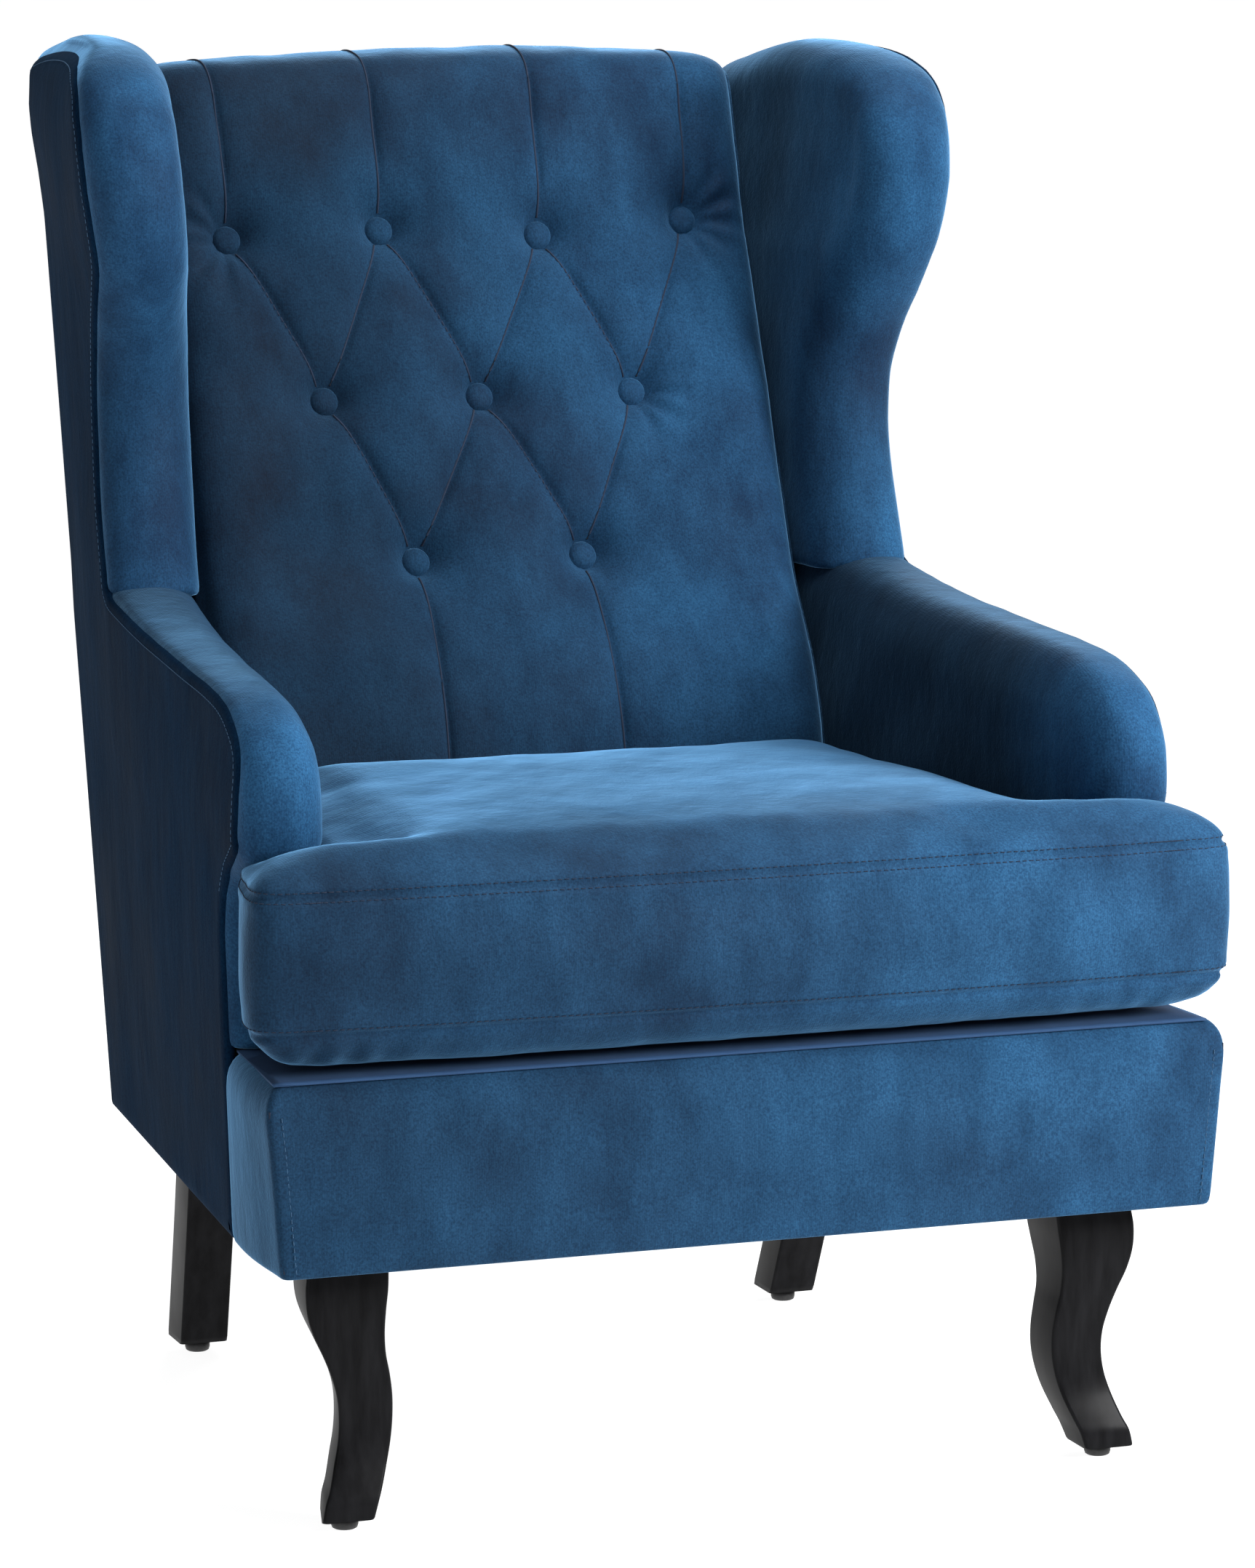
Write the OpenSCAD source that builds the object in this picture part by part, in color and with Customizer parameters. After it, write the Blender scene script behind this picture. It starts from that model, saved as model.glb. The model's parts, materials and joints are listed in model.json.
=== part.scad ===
// Wing armchair with a button-tufted back, padded arms and wings, a loose T-shaped seat cushion,
// two curved front legs and two raked rear legs. Millimetres, +Z up, the sitter looks along -Y.
// The origin is on the floor under the middle of the chair's bounding box.

/* [Base] */
// Height of the underside of the upholstered base
base_bottom = 190; // [170:1:210]
// Height of the top of the fabric deck under the cushion
deck_top = 322; // [310:1:330]
// Front face of the base border, ahead of the origin
base_front = 371; // [360:1:380]
// Half width of the chair's side plane at the origin, at floor level
side_half = 308.3; // [300:0.1:315]
// How far each side turns out towards the front, in degrees
toe = 4.86; // [4:0.01:6]
// How far each side leans out towards the top, in degrees
flare = 1.72; // [1:0.01:2]

/* [Sides] */
// Thickness of a padded arm or wing
side_thickness = 75; // [70:1:80]
// Front of the arm below its nose, ahead of the origin
arm_front = 236; // [230:1:240]
// Front of the arm's rounded nose
arm_nose = 302; // [292:1:306]
// Height of the arm's top behind the nose
arm_height = 565; // [555:1:570]
// Front of the wing at its widest, behind the origin
wing_nose = 88; // [80:1:96]
// Depth of the wing's waist, behind the origin
wing_waist = 158; // [150:1:166]
// Height of the tops of the wings
wing_height = 995; // [985:1:996]

/* [Back] */
// Rear face at the underside of the base, behind the origin
back_foot = 229; // [222:1:235]
// Lean of the rear face, in degrees
back_rake = 11.6; // [11:0.1:12]
// Lean of the padded front of the back, in degrees
pad_rake = 20; // [18:1:22]
// Height of the top of the padded back
back_height = 989; // [980:1:994]
// Half width of the padded back
pad_half = 224.5; // [215:0.5:224.5]
// Depth of the pockets that hold the tufting buttons
pocket_depth = 20; // [14:1:24]

/* [Seat cushion] */
// Front of the cushion at its middle, ahead of the origin
cushion_front = 391; // [386:1:398]
// Half width of the cushion across its front ears
cushion_half = 359; // [353:1:362]
// Height of the cushion's side walls
cushion_wall = 127; // [115:1:128]
// Extra height of the cushion's crown
cushion_crown = 18; // [10:1:24]

/* [Legs] */
// Width of a front leg at its top
front_leg_width = 55; // [50:1:58]
// Side of a rear leg's square section
rear_leg_side = 34; // [30:1:38]
// Height of the foot glides
glide_height = 5; // [4:1:6]

/* [Hidden] */
$fn = 48;
panel = 6;          // fabric-covered outer panels
shell = 4;          // fabric with its wadding
board = 22;         // timber rails and posts
behind_panel = 7;   // from the outer face to the timber
seat_gap = 0.4;     // between the deck and the cushion
rail_bottom = base_bottom + 4;
rail_top = 306;
pad_bottom = deck_top + 1;
arm_meets_wing = 593;
post_depth = 45;
pad_back = 29;      // from the rear face to the back of the padding
lining_back = 27.2; // from the rear face to the hessian
pocket_r = 15;
button_r = 11;
twine_r = 1;
wire_r = 1.8;
bolt_r = 4;
steps = 5;          // straight pieces between two points of a curve

button_places = [for (x = [-185, -64, 64, 185]) [x, 846]];
middle_places = [for (x = [-124, 0, 124]) [x, 723]];
lower_places = [for (x = [-67, 67]) [x, 603]];
all_places = concat(button_places, middle_places, lower_places);
spring_places = [for (i = [-2:2]) i * 92];
front_leg = [274.5, -294];
rear_leg = [250, 123];
rear_foot = [241, 191];
front_foot = [280.5, -320];

// ---- Curves and outlines ----

// Smooth run of points through the points of p
function bend(p) = let (n = len(p) - 1) concat([for (i = [0:n - 1], k = [0:steps - 1])
    let (a = p[max(i - 1, 0)], b = p[i], c = p[i + 1], d = p[min(i + 2, n)], t = k / steps)
    0.5 * (2 * b + (c - a) * t + (2 * a - 5 * b + 4 * c - d) * t * t
        + (3 * b - a - 3 * c + d) * t * t * t)], [p[n]]);

// Outline p, anticlockwise, moved inwards by d
function inset(p, d) = let (n = len(p)) [for (i = [0:n - 1])
    let (u = p[i] - p[(i + n - 1) % n], v = p[(i + 1) % n] - p[i],
        nu = [-u[1], u[0]] / norm(u), nv = [-v[1], v[0]] / norm(v))
    p[i] + d * (nu + nv) / (1 + nu * nv)];

function flip(p) = [for (i = [len(p) - 1:-1:0]) p[i]];

function mirror_x(p) = [for (i = [len(p) - 1:-1:0]) [-p[i][0], p[i][1]]];

// Depth of the rear face at height z
function rear(z) = back_foot + tan(back_rake) * (z - base_bottom);

// Half width of the outer side plane at depth y and height z
function side_at(y, z) = side_half - tan(toe) * y + tan(flare) * z;

// Points given as [depth, height], carried into the turned and leaning side plane
function in_side(p) = [for (q = p)
    [(q[0] - q[1] * tan(flare) * sin(toe)) / cos(toe), q[1] / cos(flare)]];

// ---- Frames of reference ----

// Draws its children in the right or left side plane: x = 0 is the outer face
module at_side(side)
    mirror([side < 0 ? 1 : 0, 0, 0])
        translate([side_half, 0, 0]) rotate([0, flare, toe]) children();

// Slab with the outline p in [depth, height], from depth x_out behind the outer face
module side_slab(p, x_out, thickness)
    translate([-x_out - thickness, 0, 0])
        rotate([90, 0, 90]) linear_extrude(thickness) polygon(in_side(p));

// Slab with the outline p in [depth, height], centred on x = 0
module cross_slab(p, half)
    translate([-half, 0, 0]) rotate([90, 0, 90]) linear_extrude(2 * half) polygon(p);

// Draws its children in the leaning plane of the rear face: y = 0 is that face
module at_rear()
    translate([0, back_foot, base_bottom]) rotate([-back_rake, 0, 0]) children();

module block(low, high) translate(low) cube(high - low);

module both_sides() for (m = [0, 1]) mirror([m, 0, 0]) children();

// ---- Outlines in [depth, height] ----

arm_front_curve = bend([[-arm_front, 452], [-262, 455], [10 - arm_nose, 463],
    [-arm_nose, 487], [12 - arm_nose, 533], [-255, arm_height - 8], [-200, arm_height],
    [-110, arm_height + 4], [16, arm_height + 17], [116, arm_meets_wing]]);

arm_outline = flip(concat([[-arm_front, pad_bottom + 1]], arm_front_curve,
    [[rear(arm_meets_wing) - 52, arm_meets_wing], [rear(pad_bottom) - 52, pad_bottom + 1]]));

wing_front_curve = concat([[128, arm_meets_wing + 1]], bend([[140, 634], [153, 678],
    [wing_waist, 718], [149, 758], [124, 803], [wing_nose + 12, 838], [wing_nose, 885],
    [wing_nose + 4, 915], [110, 950], [160, 977], [300, wing_height]]));

wing_outline = flip(concat(wing_front_curve, [[379, wing_height], [rear(982) - 5, 982],
    [rear(965) - 5, 965], [rear(965) - 52, 965],
    [rear(arm_meets_wing) - 52, arm_meets_wing + 1]]));

panel_front_curve = concat(bend([[-224, 400], [-236, 446], [-254, 477], [-276, 494],
    [-282, 514], [-276, 534], [-258, 551], [-227, 558], [-110, 567], [5, 578], [120, 588]]),
    bend([[150, 600], [169, 655], [174, 718], [164, 762], [139, 802], [117, 842],
    [113, 885], [121, 928], [142, 962], [190, 975]]));

panel_outline = flip(concat([[-224, base_bottom]], panel_front_curve,
    [[rear(975), 975], [back_foot, base_bottom]]));

pad_front_curve = bend([[92, pad_bottom + 1], [82, 400], [76, 462], [104, 530], [150, 603],
    [199, 723], [249, 846], [278, 930], [291, 964], [312, 983], [345, back_height]]);

pad_outline = flip(concat(pad_front_curve, [[378, 985], [rear(970) - 5, 970],
    [rear(970) - pad_back, 970], [rear(pad_bottom) - pad_back, pad_bottom + 1]]));

// ---- Plan outlines in [x, y] ----

// Deck outline, kept clear of the arms by gap and of the border by the same
function deck_half(edge) = let (y1 = 6 - base_front + edge, y2 = -arm_front + 4,
    z = deck_top, inner = side_thickness + 2 + edge, y3 = 165)
    [[side_at(y1, z) - panel - 2 - edge, y1], [side_at(y2, z) - panel - 2 - edge, y2],
    [side_at(y2, z) - inner, y2], [side_at(y3, z) - inner, y3]];

function deck_outline(edge) = concat(deck_half(edge), mirror_x(deck_half(edge)));

ear_back = -arm_front - 9;
cushion_rear = 70;
cushion_side_gap = side_thickness + 3;

// Right half of the cushion, from the middle of its bowed front round to its back
cushion_half_outline = concat(bend([[0, -cushion_front], [180, 3 - cushion_front],
    [310, 11 - cushion_front], [cushion_half - 8, 17 - cushion_front],
    [cushion_half, 32 - cushion_front]]),
    [[side_at(ear_back, 390) - 2, ear_back],
    [side_at(ear_back, 390) - cushion_side_gap, ear_back],
    [side_at(cushion_rear, 330) - cushion_side_gap, cushion_rear]]);

crown_half_outline = concat(bend([[0, 26 - cushion_front], [180, 30 - cushion_front],
    [cushion_half - 30, 46 - cushion_front], [cushion_half - 24, 66 - cushion_front]]),
    [[cushion_half - 34, -arm_nose - 16], [228, -arm_nose - 16], [228, -200],
    [side_at(cushion_rear, 330) - cushion_side_gap - 22, cushion_rear - 20]]);

function whole(half) = let (n = len(half))
    concat(half, mirror_x([for (i = [1:n - 1]) half[i]]));

// ---- Timber frame ----

module front_rail() color("burlywood") difference() {
    block([-296, 8 - base_front, rail_bottom], [296, 8 + board - base_front, rail_top]);
    corner_screw_bodies();
}

module rear_rail() color("burlywood") difference() {
    block([-256, 182, rail_bottom], [256, 182 + board, rail_top]);
    corner_screw_bodies();
}

module side_rail(side) color("burlywood") difference() {
    at_side(side) side_slab([[10 - base_front, rail_bottom + 1],
        [rear(rail_bottom) - 52, rail_bottom + 1], [rear(rail_top) - 52, rail_top - 1],
        [10 - base_front, rail_top - 1]], behind_panel, board);
    corner_screw_bodies();
}

front_corner = [301, 10 + board - base_front];
rear_corner = [258, 181];

module corner_block_shape(corner, depth_sign)
    translate([corner[0], corner[1], rail_bottom]) linear_extrude(70)
        polygon([[0, 0], [-112, 0], [0, 112 * depth_sign]]);

module corner_blocks() color("tan") difference() {
    both_sides() {
        corner_block_shape(front_corner, 1);
        corner_block_shape(rear_corner, -1);
    }
    corner_screw_bodies();
    leg_bolt_bodies(bolt_r + 0.5);
    leg_plate_screw_bodies();
}

// Screws that draw the blocks against the rails, heads inside the base
module corner_screw_bodies()
    both_sides() for (z = [rail_bottom + 25, rail_bottom + 50]) {
        translate([front_corner[0] - 78, front_corner[1] - 14, z]) screw([-90, 0, 0], 34);
        translate([rear_corner[0] - 78, rear_corner[1] + 14, z]) screw([90, 0, 0], 34);
    }

module screw(turn, length) rotate(turn) {
    cylinder(r = 2, h = length);
    translate([0, 0, length]) cylinder(r = 4, h = 3);
}

module corner_screws() color("gainsboro") corner_screw_bodies();

module back_post(side) color("burlywood")
    at_side(side) side_slab([[rear(rail_bottom) - 5 - post_depth, rail_bottom + 2],
        [rear(rail_bottom) - 5, rail_bottom + 2], [rear(960) - 5, 960],
        [rear(960) - 5 - post_depth, 960]], behind_panel, 30);

// Rail between the back posts, its heights measured along the leaning back
module rear_bar(low, high, half) color("burlywood")
    at_rear() block([-half, -26, low - base_bottom], [half, -5, high - base_bottom]);

module back_top_rail() rear_bar(905, 960, 264);

module back_lower_rail() rear_bar(400, 455, 259);

arm_rail_low = 520;
arm_rail_rise = 26;

module arm_post(side) color("burlywood")
    at_side(side) side_slab([[-214, rail_top + 3], [-214 + post_depth, rail_top + 3],
        [-214 + post_depth, arm_rail_low], [-214, arm_rail_low]], behind_panel, board);

module arm_rail(side) color("burlywood")
    at_side(side) side_slab([[-214, arm_rail_low + 0.5], [-214 + post_depth, arm_rail_low + 0.5],
        [rear(arm_rail_low) - 54, arm_rail_low + arm_rail_rise - 2],
        [rear(arm_rail_low) - 54, arm_rail_low + arm_rail_rise + 20],
        [-214, arm_rail_low + board]], behind_panel, board);

module wing_board(side) color("burlywood")
    at_side(side) side_slab([[rear(610) - 58, 612], [rear(940) - 58, 950], [205, 955],
        [150, 915], [150, 880], [195, 812], [222, 745], [190, 612]], behind_panel, 16);

// ---- Springing and linings ----

spring_front = 8 + board / 2 - base_front;
spring_back = 182 + board / 2;
spring_swing = 18;
spring_waves = 7;
wave_steps = 12;

// Sideways place and depth of the zigzag wire's middle line, t running from 0 to 1
function wire_at(t) = [spring_swing * sin(360 * spring_waves * t),
    spring_front + (spring_back - spring_front) * t];

// One edge of the wire, offset sideways by d
function wire_edge(d) = let (n = spring_waves * wave_steps) [for (i = [0:n])
    let (t = i / n, run = wire_at(t + 0.001) - wire_at(t - 0.001))
    wire_at(t) + d * [run[1], -run[0]] / norm(run)];

module zigzag_springs() for (x = spring_places)
    translate([x, 0, rail_top + 1.2]) linear_extrude(2 * wire_r)
        polygon(concat(wire_edge(wire_r), flip(wire_edge(-wire_r))));

module seat_springs() color("dimgray") zigzag_springs();

module spring_clips() color("silver") difference() {
    for (x = spring_places, y = [spring_front, spring_back])
        block([x - 9, y - 6, rail_top], [x + 9, y + 6, rail_top + 6]);
    zigzag_springs();
}

module deck_pad() color("ivory") translate([0, 0, rail_top + 7])
    linear_extrude(deck_top - 2 - rail_top - 7) polygon(deck_outline(2));

module deck_cloth() color("steelblue") translate([0, 0, deck_top - 2])
    linear_extrude(2) polygon(deck_outline(0));

module back_webbing() color("wheat") at_rear() for (z = [505, 620, 750, 870])
    block([-258, -25.5, z - 25 - base_bottom], [258, -23.5, z + 25 - base_bottom]);

module back_hessian() color("tan") difference() {
    cross_slab([[rear(pad_bottom + 8) - pad_back + 0.2, pad_bottom + 8],
        [rear(pad_bottom + 8) - lining_back, pad_bottom + 8],
        [rear(960) - lining_back, 960], [rear(960) - pad_back + 0.2, 960]], pad_half);
    twine_holes();
}

module dust_cover() color("dimgray") difference() {
    translate([0, 0, base_bottom + 1]) linear_extrude(2) polygon([
        [side_at(8 - base_front, base_bottom) - panel - 2, 8 - base_front],
        [side_at(215, base_bottom) - panel - 2, 215],
        [-side_at(215, base_bottom) + panel + 2, 215],
        [-side_at(8 - base_front, base_bottom) + panel + 2, 8 - base_front]]);
    both_sides() for (c = [front_leg, rear_leg])
        translate([c[0], c[1], base_bottom]) cube([plate_side + 4, plate_side + 4, 20], center = true);
}

// ---- Tufted back ----

// Depth of the padded front at height z, a straight line through the button rows
function pad_front(z) = 150 + (z - 603) * (249 - 150) / (846 - 603);

// Draws its children on the padded front at one button, z pointing out of the pad
module at_button(place)
    translate([place[0], pad_front(place[1]), place[1]]) rotate([90 - pad_rake, 0, 0]) children();

module pockets(r, bottom) for (p = all_places)
    at_button(p) translate([0, 0, -bottom]) cylinder(r = r, h = bottom + 40);

module twine_holes() for (p = all_places) at_button(p)
    translate([0, 0, -200]) cylinder(r = twine_r + 0.3, h = 200);

module back_foam() color("khaki") difference() {
    cross_slab(inset(pad_outline, shell), pad_half - shell);
    pockets(pocket_r + shell, pocket_depth + shell);
    twine_holes();
}

module back_cover() color("steelblue") difference() {
    union() {
        difference() {
            cross_slab(pad_outline, pad_half);
            cross_slab(inset(pad_outline, shell), pad_half - shell);
        }
        intersection() {
            pockets(pocket_r + shell, pocket_depth + shell);
            cross_slab(pad_outline, pad_half);
        }
    }
    pockets(pocket_r, pocket_depth);
    twine_holes();
}

module back_buttons() color("steelblue") for (p = all_places)
    at_button(p) translate([0, 0, -pocket_depth]) rotate_extrude()
        polygon([[0, 0], [button_r, 0], [button_r, 3], [9.6, 5.2], [6.5, 6.6], [0, 7.2]]);

// Twine from the back of each button to a toggle behind the hessian
module tufting_twines() color("white") for (p = all_places) at_button(p)
    let (run = (rear(p[1]) - 24 - pad_front(p[1])) * 0.985)
        translate([0, 0, -run]) {
            cylinder(r = twine_r, h = run - pocket_depth);
            translate([0, 0, -2]) cylinder(r = 5, h = 2);
        }

module outside_back_panel() color("steelblue") at_rear()
    rotate([90, 0, 0]) linear_extrude(shell) polygon([
        [-side_at(back_foot, base_bottom) + panel + 1, 0],
        [side_at(back_foot, base_bottom) - panel - 1, 0],
        [side_at(rear(975), 975) - panel - 1, 800],
        [side_at(rear(975), 975) - panel - 16, 806],
        [-side_at(rear(975), 975) + panel + 16, 806],
        [-side_at(rear(975), 975) + panel + 1, 800]]);

// ---- Sides ----

module side_panel(side) color("steelblue")
    at_side(side) side_slab(panel_outline, 0, panel);

module padded_shell(side, outline) color("steelblue") at_side(side) difference() {
    side_slab(outline, panel + 0.5, side_thickness - panel - 0.5);
    side_slab(inset(outline, shell), panel, side_thickness - panel - shell);
}

module padded_core(side, outline) color("khaki")
    at_side(side) side_slab(inset(outline, shell), panel + 1, side_thickness - panel - 1 - shell);

module arm_cover(side) difference() {
    padded_shell(side, arm_outline);
    arm_post(side);
}

module wing_cover(side) padded_shell(side, wing_outline);

module arm_foam(side) difference() {
    padded_core(side, arm_outline);
    arm_post(side);
    arm_rail(side);
}

module wing_foam(side) difference() {
    padded_core(side, wing_outline);
    wing_board(side);
}

module front_border() color("steelblue") {
    block([-side_at(-base_front, 200) + panel + 1, -base_front, base_bottom],
        [side_at(-base_front, 200) - panel - 1, panel - base_front, deck_top]);
    for (s = [-1, 1]) at_side(s) side_slab([[-base_front, base_bottom], [-225, base_bottom],
        [-225, deck_top], [-base_front, deck_top]], 0, panel);
}

// ---- Loose seat cushion ----

cushion_low = deck_top + seat_gap;

module cushion_form(edge, lift) {
    translate([0, 0, cushion_low + edge]) linear_extrude(cushion_wall - 2 * edge)
        polygon(inset(whole(cushion_half_outline), edge));
    translate([0, 0, cushion_low + cushion_wall - edge - lift])
        linear_extrude(cushion_crown + lift) polygon(inset(whole(crown_half_outline), edge));
}

module cushion_foam() color("khaki") cushion_form(3, 0);

module cushion_cover() color("steelblue") difference() {
    cushion_form(0, 0.01);
    cushion_form(3, 0);
    zip_space();
}

zip_half = 150;

module zip_space() block([-zip_half, cushion_rear - 4, cushion_low + 55],
    [zip_half, cushion_rear + 1, cushion_low + 69]);

module cushion_zip() color("slategray") {
    block([-zip_half, cushion_rear - 2.5, cushion_low + 55],
        [zip_half, cushion_rear - 1, cushion_low + 69]);
    block([zip_half - 22, cushion_rear - 1, cushion_low + 59],
        [zip_half - 8, cushion_rear + 1.5, cushion_low + 65]);
}

// ---- Legs ----

plate_side = 44;
leg_top = base_bottom;

// Leg of which seen and side are the outlines from the front and from the side
module profiled_leg(seen, side, centre, foot) color("#151515") difference() {
    intersection() {
        translate([0, 500, 0]) rotate([90, 0, 0]) linear_extrude(1000) polygon(seen);
        rotate([90, 0, 90]) linear_extrude(500) polygon(side);
    }
    translate([centre[0], centre[1], leg_top - 42]) cylinder(r = bolt_r, h = 60);
    translate([foot[0], foot[1], 0]) cylinder(r = 1.5, h = 20);
}

leg_outer_edge = bend([[302, leg_top], [304, 164], [290, 125], [280, 87], [285, 55],
    [297, glide_height]]);
leg_inner_edge = bend([[302 - front_leg_width, leg_top], [249, 164], [249, 125], [246, 87],
    [251, 55], [264, glide_height]]);
leg_front_edge = bend([[-315, leg_top], [-322, 164], [-319, 125], [-316, 90], [-321, 55],
    [-337, glide_height]]);
leg_rear_edge = bend([[-266, leg_top], [-277, 160], [-293, 122], [-296, 90], [-291, 55],
    [-302, glide_height]]);

module front_leg_shape() profiled_leg(concat(leg_outer_edge, flip(leg_inner_edge)),
    concat(leg_front_edge, flip(leg_rear_edge)), front_leg, front_foot);

module rear_leg_shape() {
    half = rear_leg_side / 2;
    profiled_leg([[rear_leg[0] - half, leg_top], [rear_foot[0] - half, glide_height],
        [rear_foot[0] + half, glide_height], [rear_leg[0] + half, leg_top]],
        [[rear_leg[1] - half, leg_top], [rear_foot[1] - half, glide_height],
        [rear_foot[1] + half, glide_height], [rear_leg[1] + half, leg_top]],
        rear_leg, rear_foot);
}

module leg_plates() color("silver") difference() {
    both_sides() for (c = [front_leg, rear_leg])
        block([c[0] - plate_side / 2, c[1] - plate_side / 2, leg_top],
            [c[0] + plate_side / 2, c[1] + plate_side / 2, leg_top + 4]);
    leg_bolt_bodies(bolt_r);
    leg_plate_screw_bodies();
}

module leg_plate_screw_bodies() both_sides() for (c = [front_leg, rear_leg], i = [-1, 1])
    translate([c[0] + i * 16, c[1] + i * 16, leg_top + 0.5]) cylinder(r = 2, h = 24);

module leg_plate_screws() color("gainsboro") leg_plate_screw_bodies();

module leg_bolt_bodies(r) both_sides() for (c = [front_leg, rear_leg])
    translate([c[0], c[1], leg_top - 40]) cylinder(r = r, h = 72);

module leg_bolts() color("gainsboro") leg_bolt_bodies(bolt_r);

// Plastic discs nailed under the feet
module foot_glides() color("#101010") both_sides() for (c = [front_foot, rear_foot])
    translate([c[0], c[1], 0]) {
        rotate_extrude() polygon([[0, 0], [8, 0], [9.5, 1.5], [9.5, glide_height],
            [0, glide_height]]);
        cylinder(r = 1.5, h = 19);
    }

front_rail();
rear_rail();
side_rail(-1);  // left_side_rail
side_rail(1);  // right_side_rail
corner_blocks();
corner_screws();
back_post(-1);  // left_back_post
back_post(1);  // right_back_post
back_top_rail();
back_lower_rail();
arm_post(-1);  // left_arm_post
arm_post(1);  // right_arm_post
arm_rail(-1);  // left_arm_rail
arm_rail(1);  // right_arm_rail
wing_board(-1);  // left_wing_board
wing_board(1);  // right_wing_board
seat_springs();
spring_clips();
deck_pad();
deck_cloth();
back_webbing();
back_hessian();
back_foam();
back_cover();
back_buttons();
tufting_twines();
side_panel(-1);  // left_side_panel
side_panel(1);  // right_side_panel
arm_foam(-1);  // left_arm_foam
arm_foam(1);  // right_arm_foam
arm_cover(-1);  // left_arm_cover
arm_cover(1);  // right_arm_cover
wing_foam(-1);  // left_wing_foam
wing_foam(1);  // right_wing_foam
wing_cover(-1);  // left_wing_cover
wing_cover(1);  // right_wing_cover
front_border();
outside_back_panel();
dust_cover();
cushion_foam();
cushion_cover();
cushion_zip();
mirror([1, 0, 0]) front_leg_shape();  // left_front_leg
front_leg_shape();  // right_front_leg
mirror([1, 0, 0]) rear_leg_shape();  // left_rear_leg
rear_leg_shape();  // right_rear_leg
leg_plates();
leg_plate_screws();
leg_bolts();
foot_glides();
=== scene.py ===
"""Looks of the wing armchair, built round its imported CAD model.

Lengths are in millimetres until a mesh is made.
"""
import json
import math

import bmesh
import bpy
import numpy as np
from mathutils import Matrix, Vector
from mathutils.bvhtree import BVHTree


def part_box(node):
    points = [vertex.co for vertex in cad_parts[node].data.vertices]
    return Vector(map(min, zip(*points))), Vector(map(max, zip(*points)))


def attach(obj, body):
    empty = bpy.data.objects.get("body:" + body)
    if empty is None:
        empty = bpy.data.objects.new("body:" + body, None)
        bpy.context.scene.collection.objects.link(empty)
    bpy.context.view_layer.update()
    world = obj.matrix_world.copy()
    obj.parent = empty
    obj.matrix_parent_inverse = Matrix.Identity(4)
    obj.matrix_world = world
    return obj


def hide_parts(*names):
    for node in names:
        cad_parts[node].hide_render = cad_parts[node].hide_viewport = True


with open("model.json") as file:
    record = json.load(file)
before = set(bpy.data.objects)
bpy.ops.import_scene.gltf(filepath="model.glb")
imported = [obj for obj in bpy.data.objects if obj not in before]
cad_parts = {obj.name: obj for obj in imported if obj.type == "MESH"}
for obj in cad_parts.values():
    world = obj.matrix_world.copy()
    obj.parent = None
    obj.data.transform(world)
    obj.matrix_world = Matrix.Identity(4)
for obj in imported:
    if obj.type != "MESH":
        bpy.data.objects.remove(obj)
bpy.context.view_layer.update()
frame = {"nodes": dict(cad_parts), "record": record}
nodes = frame["nodes"]

MM = 0.001
THICK = 75.0            # padded arm or wing, from its outer to its inner face
BASE_BOTTOM = 190.0
SKIRT = 187.8           # the covers hang a little below the frame
DECK_TOP = 322.0
BASE_FRONT = -371.0
CUSHION_LOW = 322.6
REAR_FOOT = 229.0
REAR_SLOPE = math.tan(math.radians(11.6))
FRAME_BODY = "chair_frame"
CUSHION_BODY = "seat_cushion"
SIDES = (("left", -1), ("right", 1))


# ---- curves and small maths

def spline(points, per=8):
    """Smooth run through the given points."""
    p = np.array(points, float)
    last = len(p) - 1
    out = []
    for i in range(last):
        a, b, c, d = p[max(i - 1, 0)], p[i], p[i + 1], p[min(i + 2, last)]
        for t in np.arange(per) / per:
            out.append(0.5 * (2 * b + (c - a) * t + (2 * a - 5 * b + 4 * c - d) * t ** 2
                              + (3 * b - a - 3 * c + d) * t ** 3))
    return np.array(out + [p[-1]])


def resample(points, step):
    """The same line with points about step apart."""
    length = np.r_[0, np.cumsum(np.linalg.norm(np.diff(points, axis=0), axis=1))]
    at = np.linspace(0, length[-1], max(2, round(length[-1] / step) + 1))
    return np.stack([np.interp(at, length, points[:, k]) for k in range(points.shape[1])], 1)


def line_normals(points):
    """Unit vectors to the right of a 2-D line's direction."""
    run = np.gradient(points, axis=0)
    run /= np.linalg.norm(run, axis=1)[:, None]
    return np.stack([run[:, 1], -run[:, 0]], 1)


def closed(line):
    """The line with its first point repeated at its end."""
    return np.concatenate([line, line[:1]])


def closed_normals(line):
    """Unit vectors to the right of a closed 2-D line."""
    return line_normals(np.concatenate([line[-3:], line, line[:3]]))[3:-3]


def smoothstep(x, low, high):
    t = np.clip((x - low) / (high - low), 0, 1)
    return t * t * (3 - 2 * t)


def waves(p, size, seed):
    """Smooth noise of about -1 to 1 with bumps of the given size."""
    rng = np.random.default_rng(seed)
    total = np.zeros(len(p))
    for _ in range(9):
        direction = rng.normal(size=3)
        direction /= np.linalg.norm(direction)
        total += np.sin(p @ direction * (2 * math.pi / size) * rng.uniform(0.6, 1.5)
                        + rng.uniform(0, 2 * math.pi))
    return total / 4.5


def distance_to_line(p, line):
    """Shortest distance from each 2-D point to a line of points."""
    best = np.full(len(p), 1e9)
    for a, b in zip(line[:-1], line[1:]):
        run = b - a
        t = np.clip((p - a) @ run / max(run @ run, 1e-9), 0, 1)
        best = np.minimum(best, np.linalg.norm(p - a - t[:, None] * run, axis=1))
    return best


# ---- the chair's own surfaces

def rear_y(z):
    """Depth of the leaning rear face at height z."""
    return REAR_FOOT + REAR_SLOPE * (z - BASE_BOTTOM)


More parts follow.
